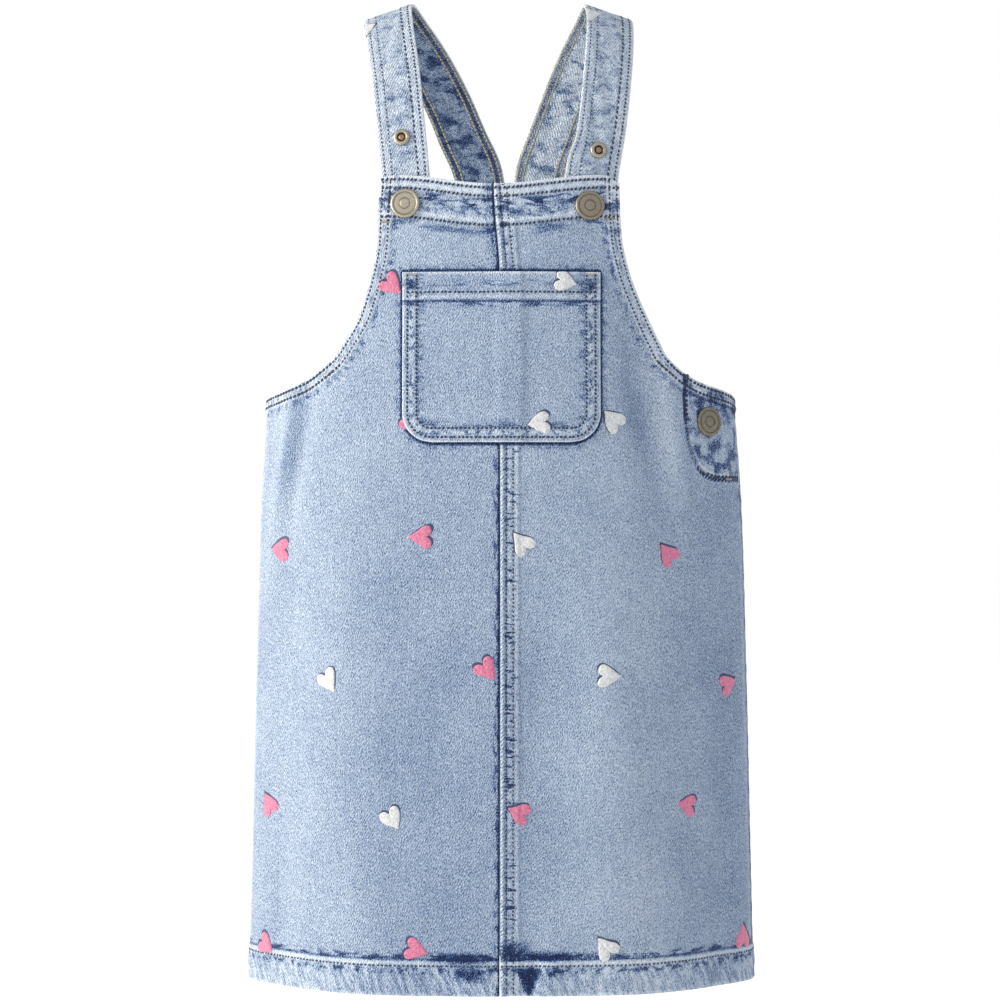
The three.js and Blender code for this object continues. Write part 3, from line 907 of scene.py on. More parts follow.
# How much darker, how far above the hem, half its height, how far from the seam and half its width
HEM_STAINS = {
    "left": [
        (-0.66, 26, 8, 6, 15),
        (-0.62, 22.6, 4.6, 24, 26),
        (-0.30, 22.4, 2.4, 50, 34),
        (-0.5, 13.5, 5, 30, 5),
    ],
    "right": [
        (-0.78, 21.2, 5.0, 21, 24),
        (-0.66, 12.5, 7, 17, 14),
        (0.18, 12, 10, 3, 5),
    ],
}
# Painted shadow on the panel along the pocket's edge, and blotches of darker wash a little further out.
POCKET_SHADOW_MARKS = [(-0.60, "under", 0.6, 2.0), (-0.14, "under", 2.8, 3.4, "blotch")]
LAP_MARKS = [
    (0.36, "lap", 1.2, 1.3),
    (-0.34, "lap", 1.2, 1.5, "seam_rope"),
    (-0.34, "lap", 3.4, 0.8, "dashes"),
    (-0.60, "lap", 6.4, 6.2, "ladder"),
    (-0.12, "lap", 5.2, 2.4, "blotch"),
    (0.10, "lap", 5.6, 2.4),
    (0.12, "lap", 9.8, 1.6),
    (-0.22, "placket_edge", 0.3, 1.5),
    (-0.50, "placket_edge", 0.4, 1.1, "placket_head"),
    (-0.80, "placket_edge", 0.4, 1.7, "placket_foot"),
    (0.14, "placket_edge", 2.6, 1.4, "placket"),
    (-0.30, "arm", 8.6, 2.4, "placket"),
]
SEAM_MARKS = [
    (-0.70, "lap", 0, 1.9),
    (-0.30, "lap", 2.0, 3.6, "upright"),
    (-0.36, "lap", 2, 7, "bib", "shade"),
]


def front_denim(name, lapped):
    finish, marks, at, height = panel_denim(name)
    marks.distances.update({key: finish.value(key) for key in ("lap", "under", "placket_edge")})
    hem, lap = marks.distances["hem"], marks.distances["lap"]
    patches = marks.patches
    # Painted shadow beside the pocket's edge
    marks.bands(POCKET_SHADOW_MARKS)
    uneven = finish.ramp(patches["blotch"], 0, 1, 0.65, 1)
    # The hem is darkest beside the seam that crosses it.
    for much, up, high, out, wide in HEM_STAINS["left" if lapped else "right"]:
        marks.put(much, finish.line(hem, up, high), finish.line(lap, out, wide), uneven)
    if lapped:
        stripes = finish.stripes(at, 1.65, -48, finish.noise(at, 3, seed=31.0))
        patches["seam_rope"] = finish.ramp(stripes, -0.4, 0.5)
        patches["ladder"] = spots(finish, at, 9, 2.4, 33.0, low=0.56, high=0.63)
        patches["dashes"] = finish.ramp(patches["upright"], 0, 1, 0.1, 1)
        patches["placket"] = finish.value("placket")
        patches["placket_head"] = finish.ramp(hem, 328, 335)
        patches["placket_foot"] = finish.ramp(hem, 306, 300)
        marks.bands(LAP_MARKS)
        marks.put(-0.40, patches["placket"], spots(finish, at, 7.5, 9, 37.0, -20, 0.44, 0.64))
        marks.put(0.07, patches["placket"])
        # Painted shadow: a wedge of dark cloth points down where the hem has a dent.
        aside = finish.math("ABSOLUTE", finish.math("SUBTRACT", lap, 17))
        dent_shadow = finish.ramp(finish.math("SUBTRACT", aside, finish.times(hem, 0.4)), -1.2, 2.6, 1, 0)
        marks.put(-0.70, dent_shadow, finish.ramp(hem, 17, 13.5))
    else:
        patches["bib"] = finish.ramp(marks.distances["top"], 64, 8)
        patches["shade"] = finish.ramp(patches["broad"], 0, 1, 0.4, 1)
        marks.bands(SEAM_MARKS)
    return cloth_shader(finish, marks.tone(), height)


def back_denim(name):
    finish, marks, _, height = panel_denim(name)
    return cloth_shader(finish, marks.tone(), height)


def reverse_denim(name):
    """The paler inside of the cloth."""
    finish = Finish(name)
    weft, height, _ = weave(finish, finish.grain())
    colour = finish.colours(finish.add(0.5, finish.times(weft, 0.8)), REVERSE)
    finish.shade(Base_Color=colour, Roughness=0.9, Normal=finish.bump(height, 0.2, 0.5))
    return finish.material


STRAP_MARKS = [
    (-0.16, "edge", 2.6, 1.2, "dash"),
    (-0.20, "edge", 6.8, 1.6, "dash"),
    (-0.10, "edge", 4.7, 2.0, "dash"),
    (0.14, "edge", 0.2, 1.5),
]


def strap_denim_finish(name, base, seed, under=False):
    """Mottled denim with dark patches left between the rows of stitches."""
    finish = Finish(name)
    at = finish.grain()
    weft, height, yarn = weave(finish, at, 2.0)
    edge = finish.value("edge")
    mottle = spots(finish, at, 11, 7, 41.0 + seed, 15, 0.44, 0.68)
    fine = spots(finish, at, 3.2, 2.2, 43.0 + seed, -20, 0.46, 0.66)
    dash = spots(finish, at, 2.0, 5.0, 45.0 + seed)
    inside = finish.ramp(edge, 5.2, 8.4)
    marks = Marks(finish, yarn, {"edge": edge}, {"dash": dash}, base, finish.times(weft, 0.66))
    marks.put(-0.22, inside, mottle)
    marks.put(-0.17, inside, fine)
    marks.bands(STRAP_MARKS)
    if under:
        marks.put(-0.26, finish.line(edge, 3.8, 3.2))
        marks.put(-0.16, finish.ramp(mottle, 0.2, 0.8))
    return cloth_shader(finish, marks.tone(), height)


POCKET_PATCHES = {"blotch": (3.6, 3.6, 51.0), "level": (12, 2.2, 53.0), "broad": (14, 4, 55.0)}
POCKET_MARKS = [
    (0.24, "edge", 0.2, 1.1),
    (-0.50, "top", 8, 4, "corner"),
    (0.12, "edge", 5.4, 2.2),
    (-0.36, "edge", 5.4, 2.8, "blotch"),
    (-0.20, "edge", 10.6, 3.2, "broad"),
    (-0.20, "edge", 9.2, 1.3, "dashes"),
    (0.18, "top", 0.3, 1.8),
    (0.10, "top", 14.4, 1.6),
    (-0.20, "top", 7, 4.0, "level"),
    (-0.36, "top", 17.0, 1.3),
    (-0.36, "top", 18.6, 3.0, "level"),
]


def pocket_denim_finish(name):
    finish = Finish(name)
    at = finish.grain()
    weft, height, yarn = weave(finish, at)
    distances = {key: finish.value(key) for key in ("edge", "top")}
    patches = {key: spots(finish, at, *row) for key, row in POCKET_PATCHES.items()}
    patches["corner"] = finish.line(distances["edge"], 5.6, 4)
    patches["dashes"] = finish.ramp(patches["blotch"], 0, 1, 0.3, 1)
    marks = Marks(finish, yarn, distances, patches, 0.63, weft)
    marks.bands(POCKET_MARKS)
    return cloth_shader(finish, marks.tone(), height)


def thread_finish(name, colour, varied=0.25):
    """Sewing thread: a soft twisted yarn."""
    finish = Finish(name)
    at = finish.node("TexCoord").outputs["Object"]
    shade = finish.noise(at, 0.8, detail=1.0)
    low = tuple(c * (1 - varied) for c in colour)
    high = tuple(min(1, c * (1 + varied)) for c in colour)
    twist = finish.noise(at, 0.25, detail=0.0, seed=3.0)
    colour_here = finish.colours(shade, [(0.3, low), (0.7, high)])
    finish.shade(Base_Color=colour_here, Roughness=0.7, Normal=finish.bump(twist, 0.08, 0.5))
    return finish.material


def embroidery_finish(name, colour, shadow):
    """Satin stitch: fine slanting threads that fall away from the middle line on each side."""
    finish = Finish(name)
    at = finish.grain()
    parts = finish.node("SeparateXYZ", {"Vector": at})
    sideways = finish.math("ABSOLUTE", parts.outputs["X"])
    phase = finish.math("SUBTRACT", parts.outputs["Y"], finish.times(sideways, 0.55))
    wander = finish.times(finish.math("SUBTRACT", finish.noise(at, 2.0), 0.5), 0.0016)
    wave = finish.math("SINE", finish.times(finish.math("ADD", phase, wander), 2 * math.pi / (0.8 * MM)))
    lumps = finish.noise(at, 1.3, 1.9, 30, 1.0, 6.0)
    gaps = finish.ramp(finish.noise(at, 1.0, seed=5.0, detail=1.0), 0.54, 0.68)
    padding = finish.times(finish.math("SUBTRACT", lumps, 0.5), 1.3)
    # The tone follows the threads' relief: painted shade between the threads, in the gaps and in the hollows
    # of the lumps.
    tone = finish.add(0.66, finish.times(wave, 0.12), finish.times(gaps, -0.5), padding)
    relief_height = finish.add(finish.times(wave, 0.4), finish.times(lumps, 3.0), finish.times(gaps, -0.9))
    finish.shade(
        Base_Color=finish.colours(tone, [(0.0, shadow), (0.8, colour)]),
        Roughness=0.6,
        Normal=finish.bump(relief_height, 0.3, 0.7),
    )
    finish.shader.inputs["Sheen Weight"].default_value = 0.2
    return finish.material


def metal_finish(name, colour, roughness, mottled=0.6):
    """Worn plating: uneven, darker in the grooves."""
    finish = Finish(name)
    at = finish.node("TexCoord").outputs["Object"]
    patina = finish.noise(at, 2.6, detail=4.0)
    dark = tuple(c * (1 - mottled) for c in colour)
    tarnish = finish.value("groove")
    worn = finish.times(finish.math("SUBTRACT", patina, 0.5), 0.9)
    tone = finish.add(worn, 0.62, finish.times(tarnish, -0.7))
    finish.shade(
        Base_Color=finish.colours(tone, [(0.0, dark), (0.8, colour)]),
        Roughness=finish.ramp(patina, 0.3, 0.7, roughness + 0.1, roughness - 0.05),
        Normal=finish.bump(finish.noise(at, 0.7, detail=2.0, seed=2.0), 0.05, 0.4),
    )
    finish.shader.inputs["Metallic"].default_value = 1.0
    return finish.material


# Sewing


def small_ball():
    bm = bmesh.new()
    bmesh.ops.create_icosphere(bm, subdivisions=1, radius=1)
    points = np.array([tuple(v.co) for v in bm.verts])
    faces = np.array([[v.index for v in f.verts] for f in bm.faces])
    bm.free()
    return points, faces


def repeated(name, template, frames, finish):
    """Copies of a small closed shape joined into one piece, one for each place and set of axes."""
    points, faces = template
    moved = np.einsum("nij,pj->npi", frames[:, :3, :3], points) + frames[:, None, :3, 3]
    count = len(frames)
    index = faces[None] + (np.arange(count) * len(points))[:, None, None]
    mesh = bpy.data.meshes.new(name)
    mesh.from_pydata((moved.reshape(-1, 3) * MM).tolist(), [], index.reshape(-1, faces.shape[1]).tolist())
    mesh.polygons.foreach_set("use_smooth", [True] * len(mesh.polygons))
    mesh.update()
    return show(name, mesh, finish)


def axes_at(points, normals, forward, length, width, height):
    """Places and axes for stitches: along the line, across it, and out of the cloth."""
    across = np.cross(normals, forward)
    across /= np.linalg.norm(across, axis=1, keepdims=True)
    ahead = np.cross(across, normals)
    frames = np.zeros((len(points), 4, 4))
    frames[:, :3, 0] = ahead * (np.broadcast_to(length, len(points))[:, None] / 2)
    frames[:, :3, 1] = across * width / 2
    frames[:, :3, 2] = normals * height / 2
    frames[:, :3, 3] = points
    return frames


def stitch_places(line, normals, cloth, pitch, length, width, height, slant, seed):
    """Stitches along a line: where each lies, and how it is turned and sized."""
    draw = random.Random(seed)
    run = run_of(line)
    count = max(2, int(run[-1] / pitch))
    at = (np.arange(count) + 0.5) * run[-1] / count
    at = at + np.array([draw.uniform(-0.12, 0.12) * pitch for _ in at])

    def pick(values, where):
        return np.stack([np.interp(where, run, values[:, k]) for k in range(3)], axis=-1)

    points, outward = pick(line, at), pick(normals, at)
    outward /= np.linalg.norm(outward, axis=1, keepdims=True)
    forward = pick(line, at + 0.5) - pick(line, at - 0.5)
    forward /= np.linalg.norm(forward, axis=1, keepdims=True)
    if cloth is not None:
        hits = [cloth.settle([p], [n]) for p, n in zip(points, outward)]
        kept = [i for i, hit in enumerate(hits) if len(hit[0])]
        forward = forward[kept]
        points = np.array([hits[i][0][0] for i in kept])
        outward = np.array([hits[i][1][0] for i in kept])
    turn = math.radians(slant)
    side = np.cross(outward, forward)
    forward = forward * math.cos(turn) + side * math.sin(turn)
    lengths = np.array([length * draw.uniform(0.85, 1.12) for _ in points])
    return axes_at(points, outward, forward, lengths, width, height)


STITCH = {"pitch": 2.45, "length": 1.9, "width": 1.3, "height": 0.8, "slant": 16}
BAND = {"pitch": 2.45, "length": 2.4, "width": 1.6, "height": 1.0, "slant": 48}
BOLD = {"pitch": 2.7, "length": 2.4, "width": 2.1, "height": 1.0}
THIN = {"length": 1.7, "width": 1.05, "height": 0.6}


def sew(name, lines, finish, cloth=None, seed=1, **sizes):
    """Rows of stitches as one piece. A line is its points and the cloth's normals there."""
    sizes = {**STITCH, **sizes}
    frames = [
        stitch_places(line, normals, cloth, seed=seed + i, **sizes)
        for i, (line, normals) in enumerate(lines)
        if len(line) > 1
    ]
    return repeated(name, small_ball(), np.concatenate(frames), finish)


def inset(angles, heights, distance):
    """A line on the dress moved over the cloth to the left of its own direction, seen from outside."""
    points, normals = surface(angles, heights)
    ahead = np.gradient(points, axis=0)
    ahead /= np.linalg.norm(ahead, axis=1, keepdims=True)
    inward = np.cross(normals, ahead)
    around = (skin(angles + 0.002, heights) - skin(angles - 0.002, heights)) / 0.004
    moved_z = heights + distance * inward[:, 2]
    moved_angle = angles + distance * (inward * around).sum(axis=1) / (around * around).sum(axis=1)
    return moved_angle, moved_z


def edge_lines(cut):
    """The finished edges of half a panel, each running with the cloth on its left."""
    angles, heights = armhole_line(cut, 160)
    arm = (round_to(angles, cut), heights)
    hem_angle = np.linspace(0, cut["seam"], 120)
    hem = (round_to(hem_angle, cut), np.full(120, float(HEM_Z)))
    corner, middle = cut["top"]["corner"], cut["top"]["middle"]
    share = np.linspace(1, 0, 120)
    start = 0.0 if cut["behind"] else cut["side"] * float(angle_at(seam_x(middle), middle))
    top = (round_to(lerp(start, angles[-1], share), cut), lerp(middle, corner, climb(share, middle)))
    rightward = (cut["side"] > 0) != cut["behind"]
    lines = {"arm": arm, "hem": hem, "top": top}
    if not rightward:
        lines = {key: (a[::-1], z[::-1]) for key, (a, z) in lines.items()}
    return lines


# Panel, edge, row, and the heights between which its stitches are boldest
BOLD_RUNS = [
    ("front_left", "arm", 1.9, -240, -206),
    ("front_left", "arm", 6.2, -240, -206),
    ("front_right", "arm", 1.9, -240, -208),
    ("front_right", "arm", 6.2, -240, -208),
    ("front_right", "arm", 6.2, -128, -104),
]


# The lapped seam's stitches run below and above the pocket.
LAP_RUNS = [(HEM_Z + 1, POCKET["bottom"] - 3), (POCKET["top"] + 2, BIB_TOP["middle"] - 2)]


def panel_stitches(name, cuts, cloth, threads):
    """The topstitching of a panel: hem, armholes, top band and, in front, the lapped seam."""
    rows, band, bold, thin, tan = [], [], [], [], []
    for cut in cuts:
        for key, line in edge_lines(cut).items():
            for distance in STITCH_ROWS[key]:
                angles, heights = inset(*line, distance)
                trim = slice(2, -2) if key == "arm" else slice(None)
                (band if key == "top" else rows).append(surface(angles[trim], heights[trim]))
                for panel, edge, row, low, high in BOLD_RUNS:
                    if (panel, edge, row) == (name, key, distance):
                        kept = (heights > low) & (heights < high)
                        bold.append(surface(angles[kept], heights[kept]))
    if name == "front_left":
        for across in LAP_ROWS:
            for low, high in LAP_RUNS:
                heights = np.linspace(low, high, 200)
                thin.append(surface(angle_at(seam_x(heights) + across, heights), heights))
        angles, heights = inset(*placket_line().T, 1.6)
        bold.append(surface(angles[heights > -243], heights[heights > -243]))
        bold.append(surface(angles[heights < -272], heights[heights < -272]))
        between = (heights > -274) & (heights < -241)
        tan.append(surface(angles[between], heights[between]))
    kinds = [
        ("_stitches", rows, "indigo", 11, {}),
        ("_band_stitches", band, "navy", 31, BAND),
        ("_bold_stitches", bold, "navy", 41, BOLD),
        ("_lap_stitches", thin, "indigo", 37, THIN),
        ("_tan_stitches", tan, "tan", 43, {"width": 0.9}),
    ]
    return [
        sew(name + ending, lines, threads[thread], cloth, seed, **sizes)
        for ending, lines, thread, seed, sizes in kinds
        if lines
    ]


def bartack(cloth, centre, length, width=1.9):
    """A level bar of close stitches, laid on a cloth from a point and its normal."""
    point, normal = centre
    along = np.cross([0.0, 0.0, 1.0], normal)
    along /= np.linalg.norm(along)
    across = np.cross(normal, along)
    steps = np.linspace(-length / 2, length / 2, 9)
    points, outward = cloth.settle([point + along * s for s in steps], [normal] * len(steps))
    return axes_at(points, outward, np.repeat([across], len(points), axis=0), width, 0.72, 0.62)


# Embroidered hearts: where each lies on the photograph, the way its tip points in degrees, and its thread.
HEARTS = rows_of(
    "px py tip thread",
    (392, 285, -40, "pink"),
    (413, 421, -30, "pink"),
    (613, 420, 135, "white"),
    (280, 550, 180, "pink"),
    (421, 537, 180, "pink"),
    (522, 543, 130, "white"),
    (668, 554, 130, "pink"),
    (328, 681, -56, "white"),
    (487, 670, -50, "pink"),
    (609, 676, 0, "white"),
    (728, 684, 20, "pink"),
    (269, 804, 122, "pink"),
    (392, 819, -59, "white"),
    (519, 813, 157, "pink"),
    (687, 805, 166, "pink"),
    (266, 945, -30, "pink"),
    (416, 950, -17, "pink"),
    (606, 948, 130, "white"),
    (743, 936, 90, "pink"),
)
POCKET_HEARTS = rows_of(
    "px py tip thread",
    (565, 282, -15, "white"),
    (539, 423, 190, "white"),
)
# The rows of hearts go on round the back: angle and height, in the same spacing.
BACK_HEARTS = rows_of(
    "angle z tip thread",
    (172, -152, 200, "pink"),
    (148, -236, 40, "white"),
    (-174, -244, -60, "pink"),
    (-128, -250, 150, "white"),
    (112, -312, -20, "pink"),
    (153, -320, 170, "pink"),
    (-162, -310, -50, "white"),
    (-118, -324, 100, "pink"),
    (128, -392, -120, "white"),
    (168, -400, 20, "pink"),
    (-146, -388, 195, "pink"),
    (-104, -398, 60, "white"),
    (106, -470, 140, "pink"),
    (146, -478, -30, "white"),
    (-170, -466, 80, "pink"),
    (-130, -476, -75, "pink"),
    (126, -552, 10, "pink"),
    (164, -546, 130, "white"),
    (-150, -552, 185, "pink"),
    (-108, -548, -40, "white"),
)
HEART = {"size": 14.3, "height": 0.85, "around": 60, "rings": 10}
HEART_SHADE = {"pink": 1.4, "white": 1.1}


HEART_KNOTS = [(0, -0.25), (0.12, -0.41), (0.31, -0.46), (0.47, -0.33), (0.45, -0.1), (0.26, 0.2), (0, 0.54)]


def heart_outline(count):
    """A heart of unit height with nearly straight sides, its tip at +Y, from its notch round."""
    half = even(spline(HEART_KNOTS, 20), count // 2 + 1)
    return np.concatenate([half, half[-2::-1] * (-1, 1)])


def heart_mesh(name, cloth, centre, normal, tip, size, lift, height):
    """A padded heart laid on a cloth, its rim sunk into it."""
    outline = heart_outline(HEART["around"])
    around = np.linspace(0, 1, len(outline))
    outline = outline * (1 + 0.05 * waver(around, 0.2, name) * np.sin(np.pi * around) ** 0.5)[:, None]
    middle = np.array([0.0, -0.04])
    rings = []
    rises = []
    for share in np.linspace(0, 1, HEART["rings"]):
        rings.append(lerp(outline, middle, share))
        rises.append(height * math.sin(math.acos(1 - share)) ** 0.8 if share else -0.35)
    flat = np.array(rings) * size
    rise = np.repeat(np.array(rises)[:, None], flat.shape[1], axis=1)
    valley = 1 - 0.3 * bell(flat[..., 0], 0, 0.8)
    x, y = flat[..., 0], flat[..., 1]
    lumps = 1 + 0.16 * waver(x + 0.6 * y, 3.1, name + "a") * waver(y, 2.7, name + "b")
    rise = np.where(rise > 0, rise * valley * lumps, rise) + lift
    upright = np.array([0.0, 0.0, 1.0])
    level = np.cross(upright, normal)
    level /= np.linalg.norm(level)
    upright = np.cross(normal, level)
    turn = math.radians(tip)
    ahead = level * math.cos(turn) + upright * math.sin(turn)
    across = np.cross(ahead, normal)
    spread = centre + flat[..., :1] * across + flat[..., 1:] * ahead
    away = np.repeat([normal], spread[..., 0].size, axis=0)
    points, outward = cloth.settle(spread.reshape(-1, 3), away, gather=True)
    points = (points + outward * rise.reshape(-1, 1)).reshape(spread.shape)
    mesh = grid_mesh(name, points, grain=flat)
    bm = bmesh.new()
    bm.from_mesh(mesh)
    bmesh.ops.remove_doubles(bm, verts=bm.verts, dist=0.01 * MM)
    bmesh.ops.recalc_face_normals(bm, faces=bm.faces)
    outward_sum = sum((f.normal * f.calc_area() for f in bm.faces), Vector())
    if outward_sum.dot(Vector(normal)) < 0:
        bmesh.ops.reverse_faces(bm, faces=bm.faces)
    bm.to_mesh(mesh)
    bm.free()
    return mesh


def join_meshes(name, meshes, finish):
    bm = bmesh.new()
    for mesh in meshes:
        bm.from_mesh(mesh)
        bpy.data.meshes.remove(mesh)
    joined = bpy.data.meshes.new(name)
    bm.to_mesh(joined)
    bm.free()
    return show(name, joined, finish)


def hearts_on(name, cloth, places, threads):
    """All the hearts of one cloth: the padded ones of each thread, and the dark edge under them, set off to
    one side: painted shadow, with darker dye round the stitches.
    """
    found = {"pink": [], "white": [], "edge": []}
    draw = random.Random(name)
    for i, (centre, normal, tip, thread) in enumerate(places):
        size = HEART["size"] * draw.uniform(0.96, 1.05)
        padded = heart_mesh(f"{name}_{i}", cloth, centre, normal, tip, size, 0.0, HEART["height"])
        # The dark sheet under each heart is set off to one side: painted shadow, with darker dye round the
        # stitches.
        turn = math.pi / 2 + draw.uniform(-1.1, 1.1)
        level = np.cross([0, 0, 1], normal)
        aside = HEART_SHADE[thread] * (math.cos(turn) * level + math.sin(turn) * np.array([0, 0, 1]))
        edge = heart_mesh(f"{name}_{i}_edge", cloth, centre + aside, normal, tip, size * 1.06, 0.02, 0.12)
        found[thread].append(padded)
        found["edge"].append(edge)
    return [
        join_meshes(f"{name}_{key}", meshes, threads["heart_" + key])
        for key, meshes in found.items()
        if meshes
    ]


def from_pixel(px, py):
    """The place on the front of the dress that the camera sees at a pixel: its angle and height."""
    width = CAMERA["sensor"] / CAMERA["lens"] * CAMERA["distance"]
    y = -60.0
    aside = 0.0
    for _ in range(12):
        scale = width / 1000 * (CAMERA["distance"] + y) / CAMERA["distance"]
        x = (px - 500) * scale
        z = CAMERA["height"] + (500 - py) * scale
        angle = float(angle_at(x - aside, z))
        place = skin(angle, z)
        aside += float(place[0]) - x
        y = float(place[1])
    return angle, z


def dress_places(rows):
    """Centres, normals, tips and threads of hearts that a table gives by pixel or by angle."""
    found = []
    for row in rows:
        if "px" in row:
            angle, z = from_pixel(row["px"], row["py"])
        else:
            angle, z = math.radians(row["angle"]), row["z"]
        point, normal = surface(np.array([angle]), np.array([z]))
        found.append((point[0], normal[0], row["tip"], row["thread"]))
    return found


# Pocket


def pocket_grid():
    """The pocket's outer face over the front panels, with distances from its sides and from its top."""
    top, bottom = POCKET["top"], POCKET["bottom"]
    radius = POCKET["corner"]
    heights = bottom + stations((radius, 0.8), (top - bottom - radius - 20, 1.5), (20, 0.8))
    up = heights - bottom
    cut_in = np.where(up < radius, radius - np.sqrt(np.maximum(radius**2 - (radius - up) ** 2, 0)), 0)
    share = stations((10, 0.7), (80, 1.35), (10, 0.7)) / 100
    left, right = POCKET["left"] + cut_in, POCKET["right"] - cut_in
    x = lerp(left[:, None], right[:, None], share[None])
    z = np.repeat(heights[:, None], len(share), axis=1)
    flat = np.stack([x, np.zeros_like(x), z], axis=-1)
    rim = np.concatenate([flat[::-1, 0], flat[0], flat[:, -1]])
    edge, edge_run = distance_to(flat, rim)
    below_top = top - z
    over_lap = LAPPED * smooth((x + 2.5) / 1.5) * smooth((LAP + 4 - x) / 2)
    rise = over_lap + GAP + POCKET["wall"]
    rise += DOUBLED * smooth((POCKET["band"] + 0.35 - below_top) / 0.7)
    rise += 0.28 * smooth((9.2 - edge) / 1.2) - 0.35 * bell(edge, 0, 0.6)
    for distance, rows in ((edge, POCKET_ROWS["edge"]), (below_top, POCKET_ROWS["top"])):
        for row in rows:
            rise -= 0.15 * bell(distance, row, 0.8)
    rise += 0.14 * waver(edge_run, 5, 61) * bell(edge, 5, 4)
    rise += 0.16 * waver(x, 7, 62) * bell(below_top, 13, 6)
    rise += 0.7 * bell(x, 20, 26) * bell(below_top, 4, 9)
    points = skin(angle_at(x, z), z, rise)
    return {"points": points, "x": x, "z": z, "edge": edge, "top": below_top, "rim": rim}


POCKET_ROWS = {"edge": [2.9, 8.1], "top": [11.8]}


def pocket_path(distance):
    """A row of stitches this far in from the pocket's sides and bottom, from its top left round."""
    radius = max(POCKET["corner"] - distance, 1)
    left, right = POCKET["left"] + distance, POCKET["right"] - distance
    low, high = POCKET["bottom"] + distance, POCKET["top"] - 0.8
    turn = np.linspace(0, np.pi / 2, 14)
    in_left, in_right, up = left + radius, right - radius, low + radius
    corner_left = [(in_left - radius * math.cos(t), up - radius * math.sin(t)) for t in turn]
    corner_right = [(in_right + radius * math.sin(t), up - radius * math.cos(t)) for t in turn]
    path = even(np.array([(left, high), *corner_left, *corner_right, (right, high)]), 220)
    return surface(angle_at(path[:, 0], path[:, 1]), path[:, 1], GAP + POCKET["wall"])


# Straps


def strap_frame(side, at):
    """Centres, along and across directions and half widths of a strap, at shares of its table."""
    last = len(STRAP_SECTIONS) - 1
    table = [{**row, "at": i / last} for i, row in enumerate(STRAP_SECTIONS)]

    def centre(where):
        out, y, z, drift = (read(table, "at", where, key) for key in ("out", "y", "z", "drift"))
        return np.stack([side * out + drift, y, z], axis=-1)

    along = centre(np.minimum(at + 0.01, 1)) - centre(np.maximum(at - 0.01, 0))
    along /= np.linalg.norm(along, axis=-1, keepdims=True)
    tilt = np.radians(read(table, "at", at, "tilt"))
    yaw = np.radians(read(table, "at", at, "yaw"))
    across = np.stack([side * np.cos(yaw) * np.cos(tilt), np.sin(yaw), np.sin(tilt)], axis=-1)
    across /= np.linalg.norm(across, axis=-1, keepdims=True)
    square = np.linalg.norm(np.cross(along, across), axis=-1)
    return centre(at), along, across, read(table, "at", at, "width") / 2 / square


def tucked(points):
    """Points of a strap moved inside the bib or the back where they would cross it."""
    behind = points[..., 1] > 0
    covered = points[..., 2] < np.where(behind, BACK_TOP["corner"], BIB_TOP["corner"]) + 14
    x = np.where(behind, points[..., 0] - BACK_DRIFT, points[..., 0])
    z = points[..., 2]
    front = skin(angle_at(x, z), z, -WALL - GAP)[..., 1]
    back = skin(angle_at(x, z, True), z, -WALL - GAP)[..., 1]
    y = np.where(behind, np.minimum(points[..., 1], back), np.maximum(points[..., 1], front))
    return np.stack([points[..., 0], np.where(covered, y, points[..., 1]), z], axis=-1)


def strap_grid(side):
    """A strap's outer face: points, distances from its nearer edge, along it, and its normals."""
    at = np.linspace(0, 1, 230)
    centre, along, across, half = strap_frame(side, at)
    share = stations((9.5, 0.8), (10, 1.25), (9.5, 0.8)) / HALF_STRAP - 1
    reach = share[None] * half[:, None]
    if side > 0:
        # The inner edge of this strap is rolled forward a little above the bib.
        flare = 3.0 * smooth((-72 - centre[:, 2]) / 20) * (centre[:, 1] < 0)
        reach = reach - flare[:, None] * smooth(-share[None] * 2 - 0.6)
    points = centre[:, None] + reach[..., None] * across[:, None]
    points = tucked(points)
    run = run_of(points[:, points.shape[1] // 2])
    edge = (1 - np.abs(share))[None] * HALF_STRAP + np.zeros((len(at), 1))
    down = run[:, None]
    rise = 0.10 * waver(down + 3 * np.sign(share)[None], 6, 71 + side) * bell(edge, 5, 4)
    rise += 0.22 * waver(down + 60 * share[None], 34, 73 + side) * smooth(edge / 6)
    for row in STRAP_ROWS:
        rise -= 0.14 * bell(edge, row, 0.8)
    rise -= 0.3 * bell(edge, 0, 0.7)
    if side < 0:
        points = points[:, ::-1]
        edge, rise = edge[:, ::-1], rise[:, ::-1]
    normals = np.cross(np.gradient(points, axis=1), np.gradient(points, axis=0))
    normals /= np.linalg.norm(normals, axis=-1, keepdims=True)
    points = points + normals * rise[..., None]
    grain = np.stack(np.broadcast_arrays((share * HALF_STRAP)[None], down), axis=-1) + 700 + 150 * side
    return {"points": points, "edge": edge, "normals": normals, "grain": grain, "share": share}


STRAP_ROWS = [2.6, 6.8]
UNDER_ROWS = [2.0, 5.4]
STRAP_HEARTS = {
    "strap_left": {"z": 1, "column": 3, "tip": 0},
    "strap_right": {"z": -7, "column": 0, "tip": 40},
}


def strap_line(grid, distance, end):
    """A line along a strap this far in from one of its edges, on its outer face."""
    points, normals = grid["points"], grid["normals"]
    column = np.interp(1 - distance / HALF_STRAP, grid["share"], np.arange(len(grid["share"])))
    if end < 0:
        column = len(grid["share"]) - 1 - column
    low = int(column)
    mix = column - low
    line = lerp(points[:, low], points[:, min(low + 1, points.shape[1] - 1)], mix)
    return line, normals[:, low]


# Metal


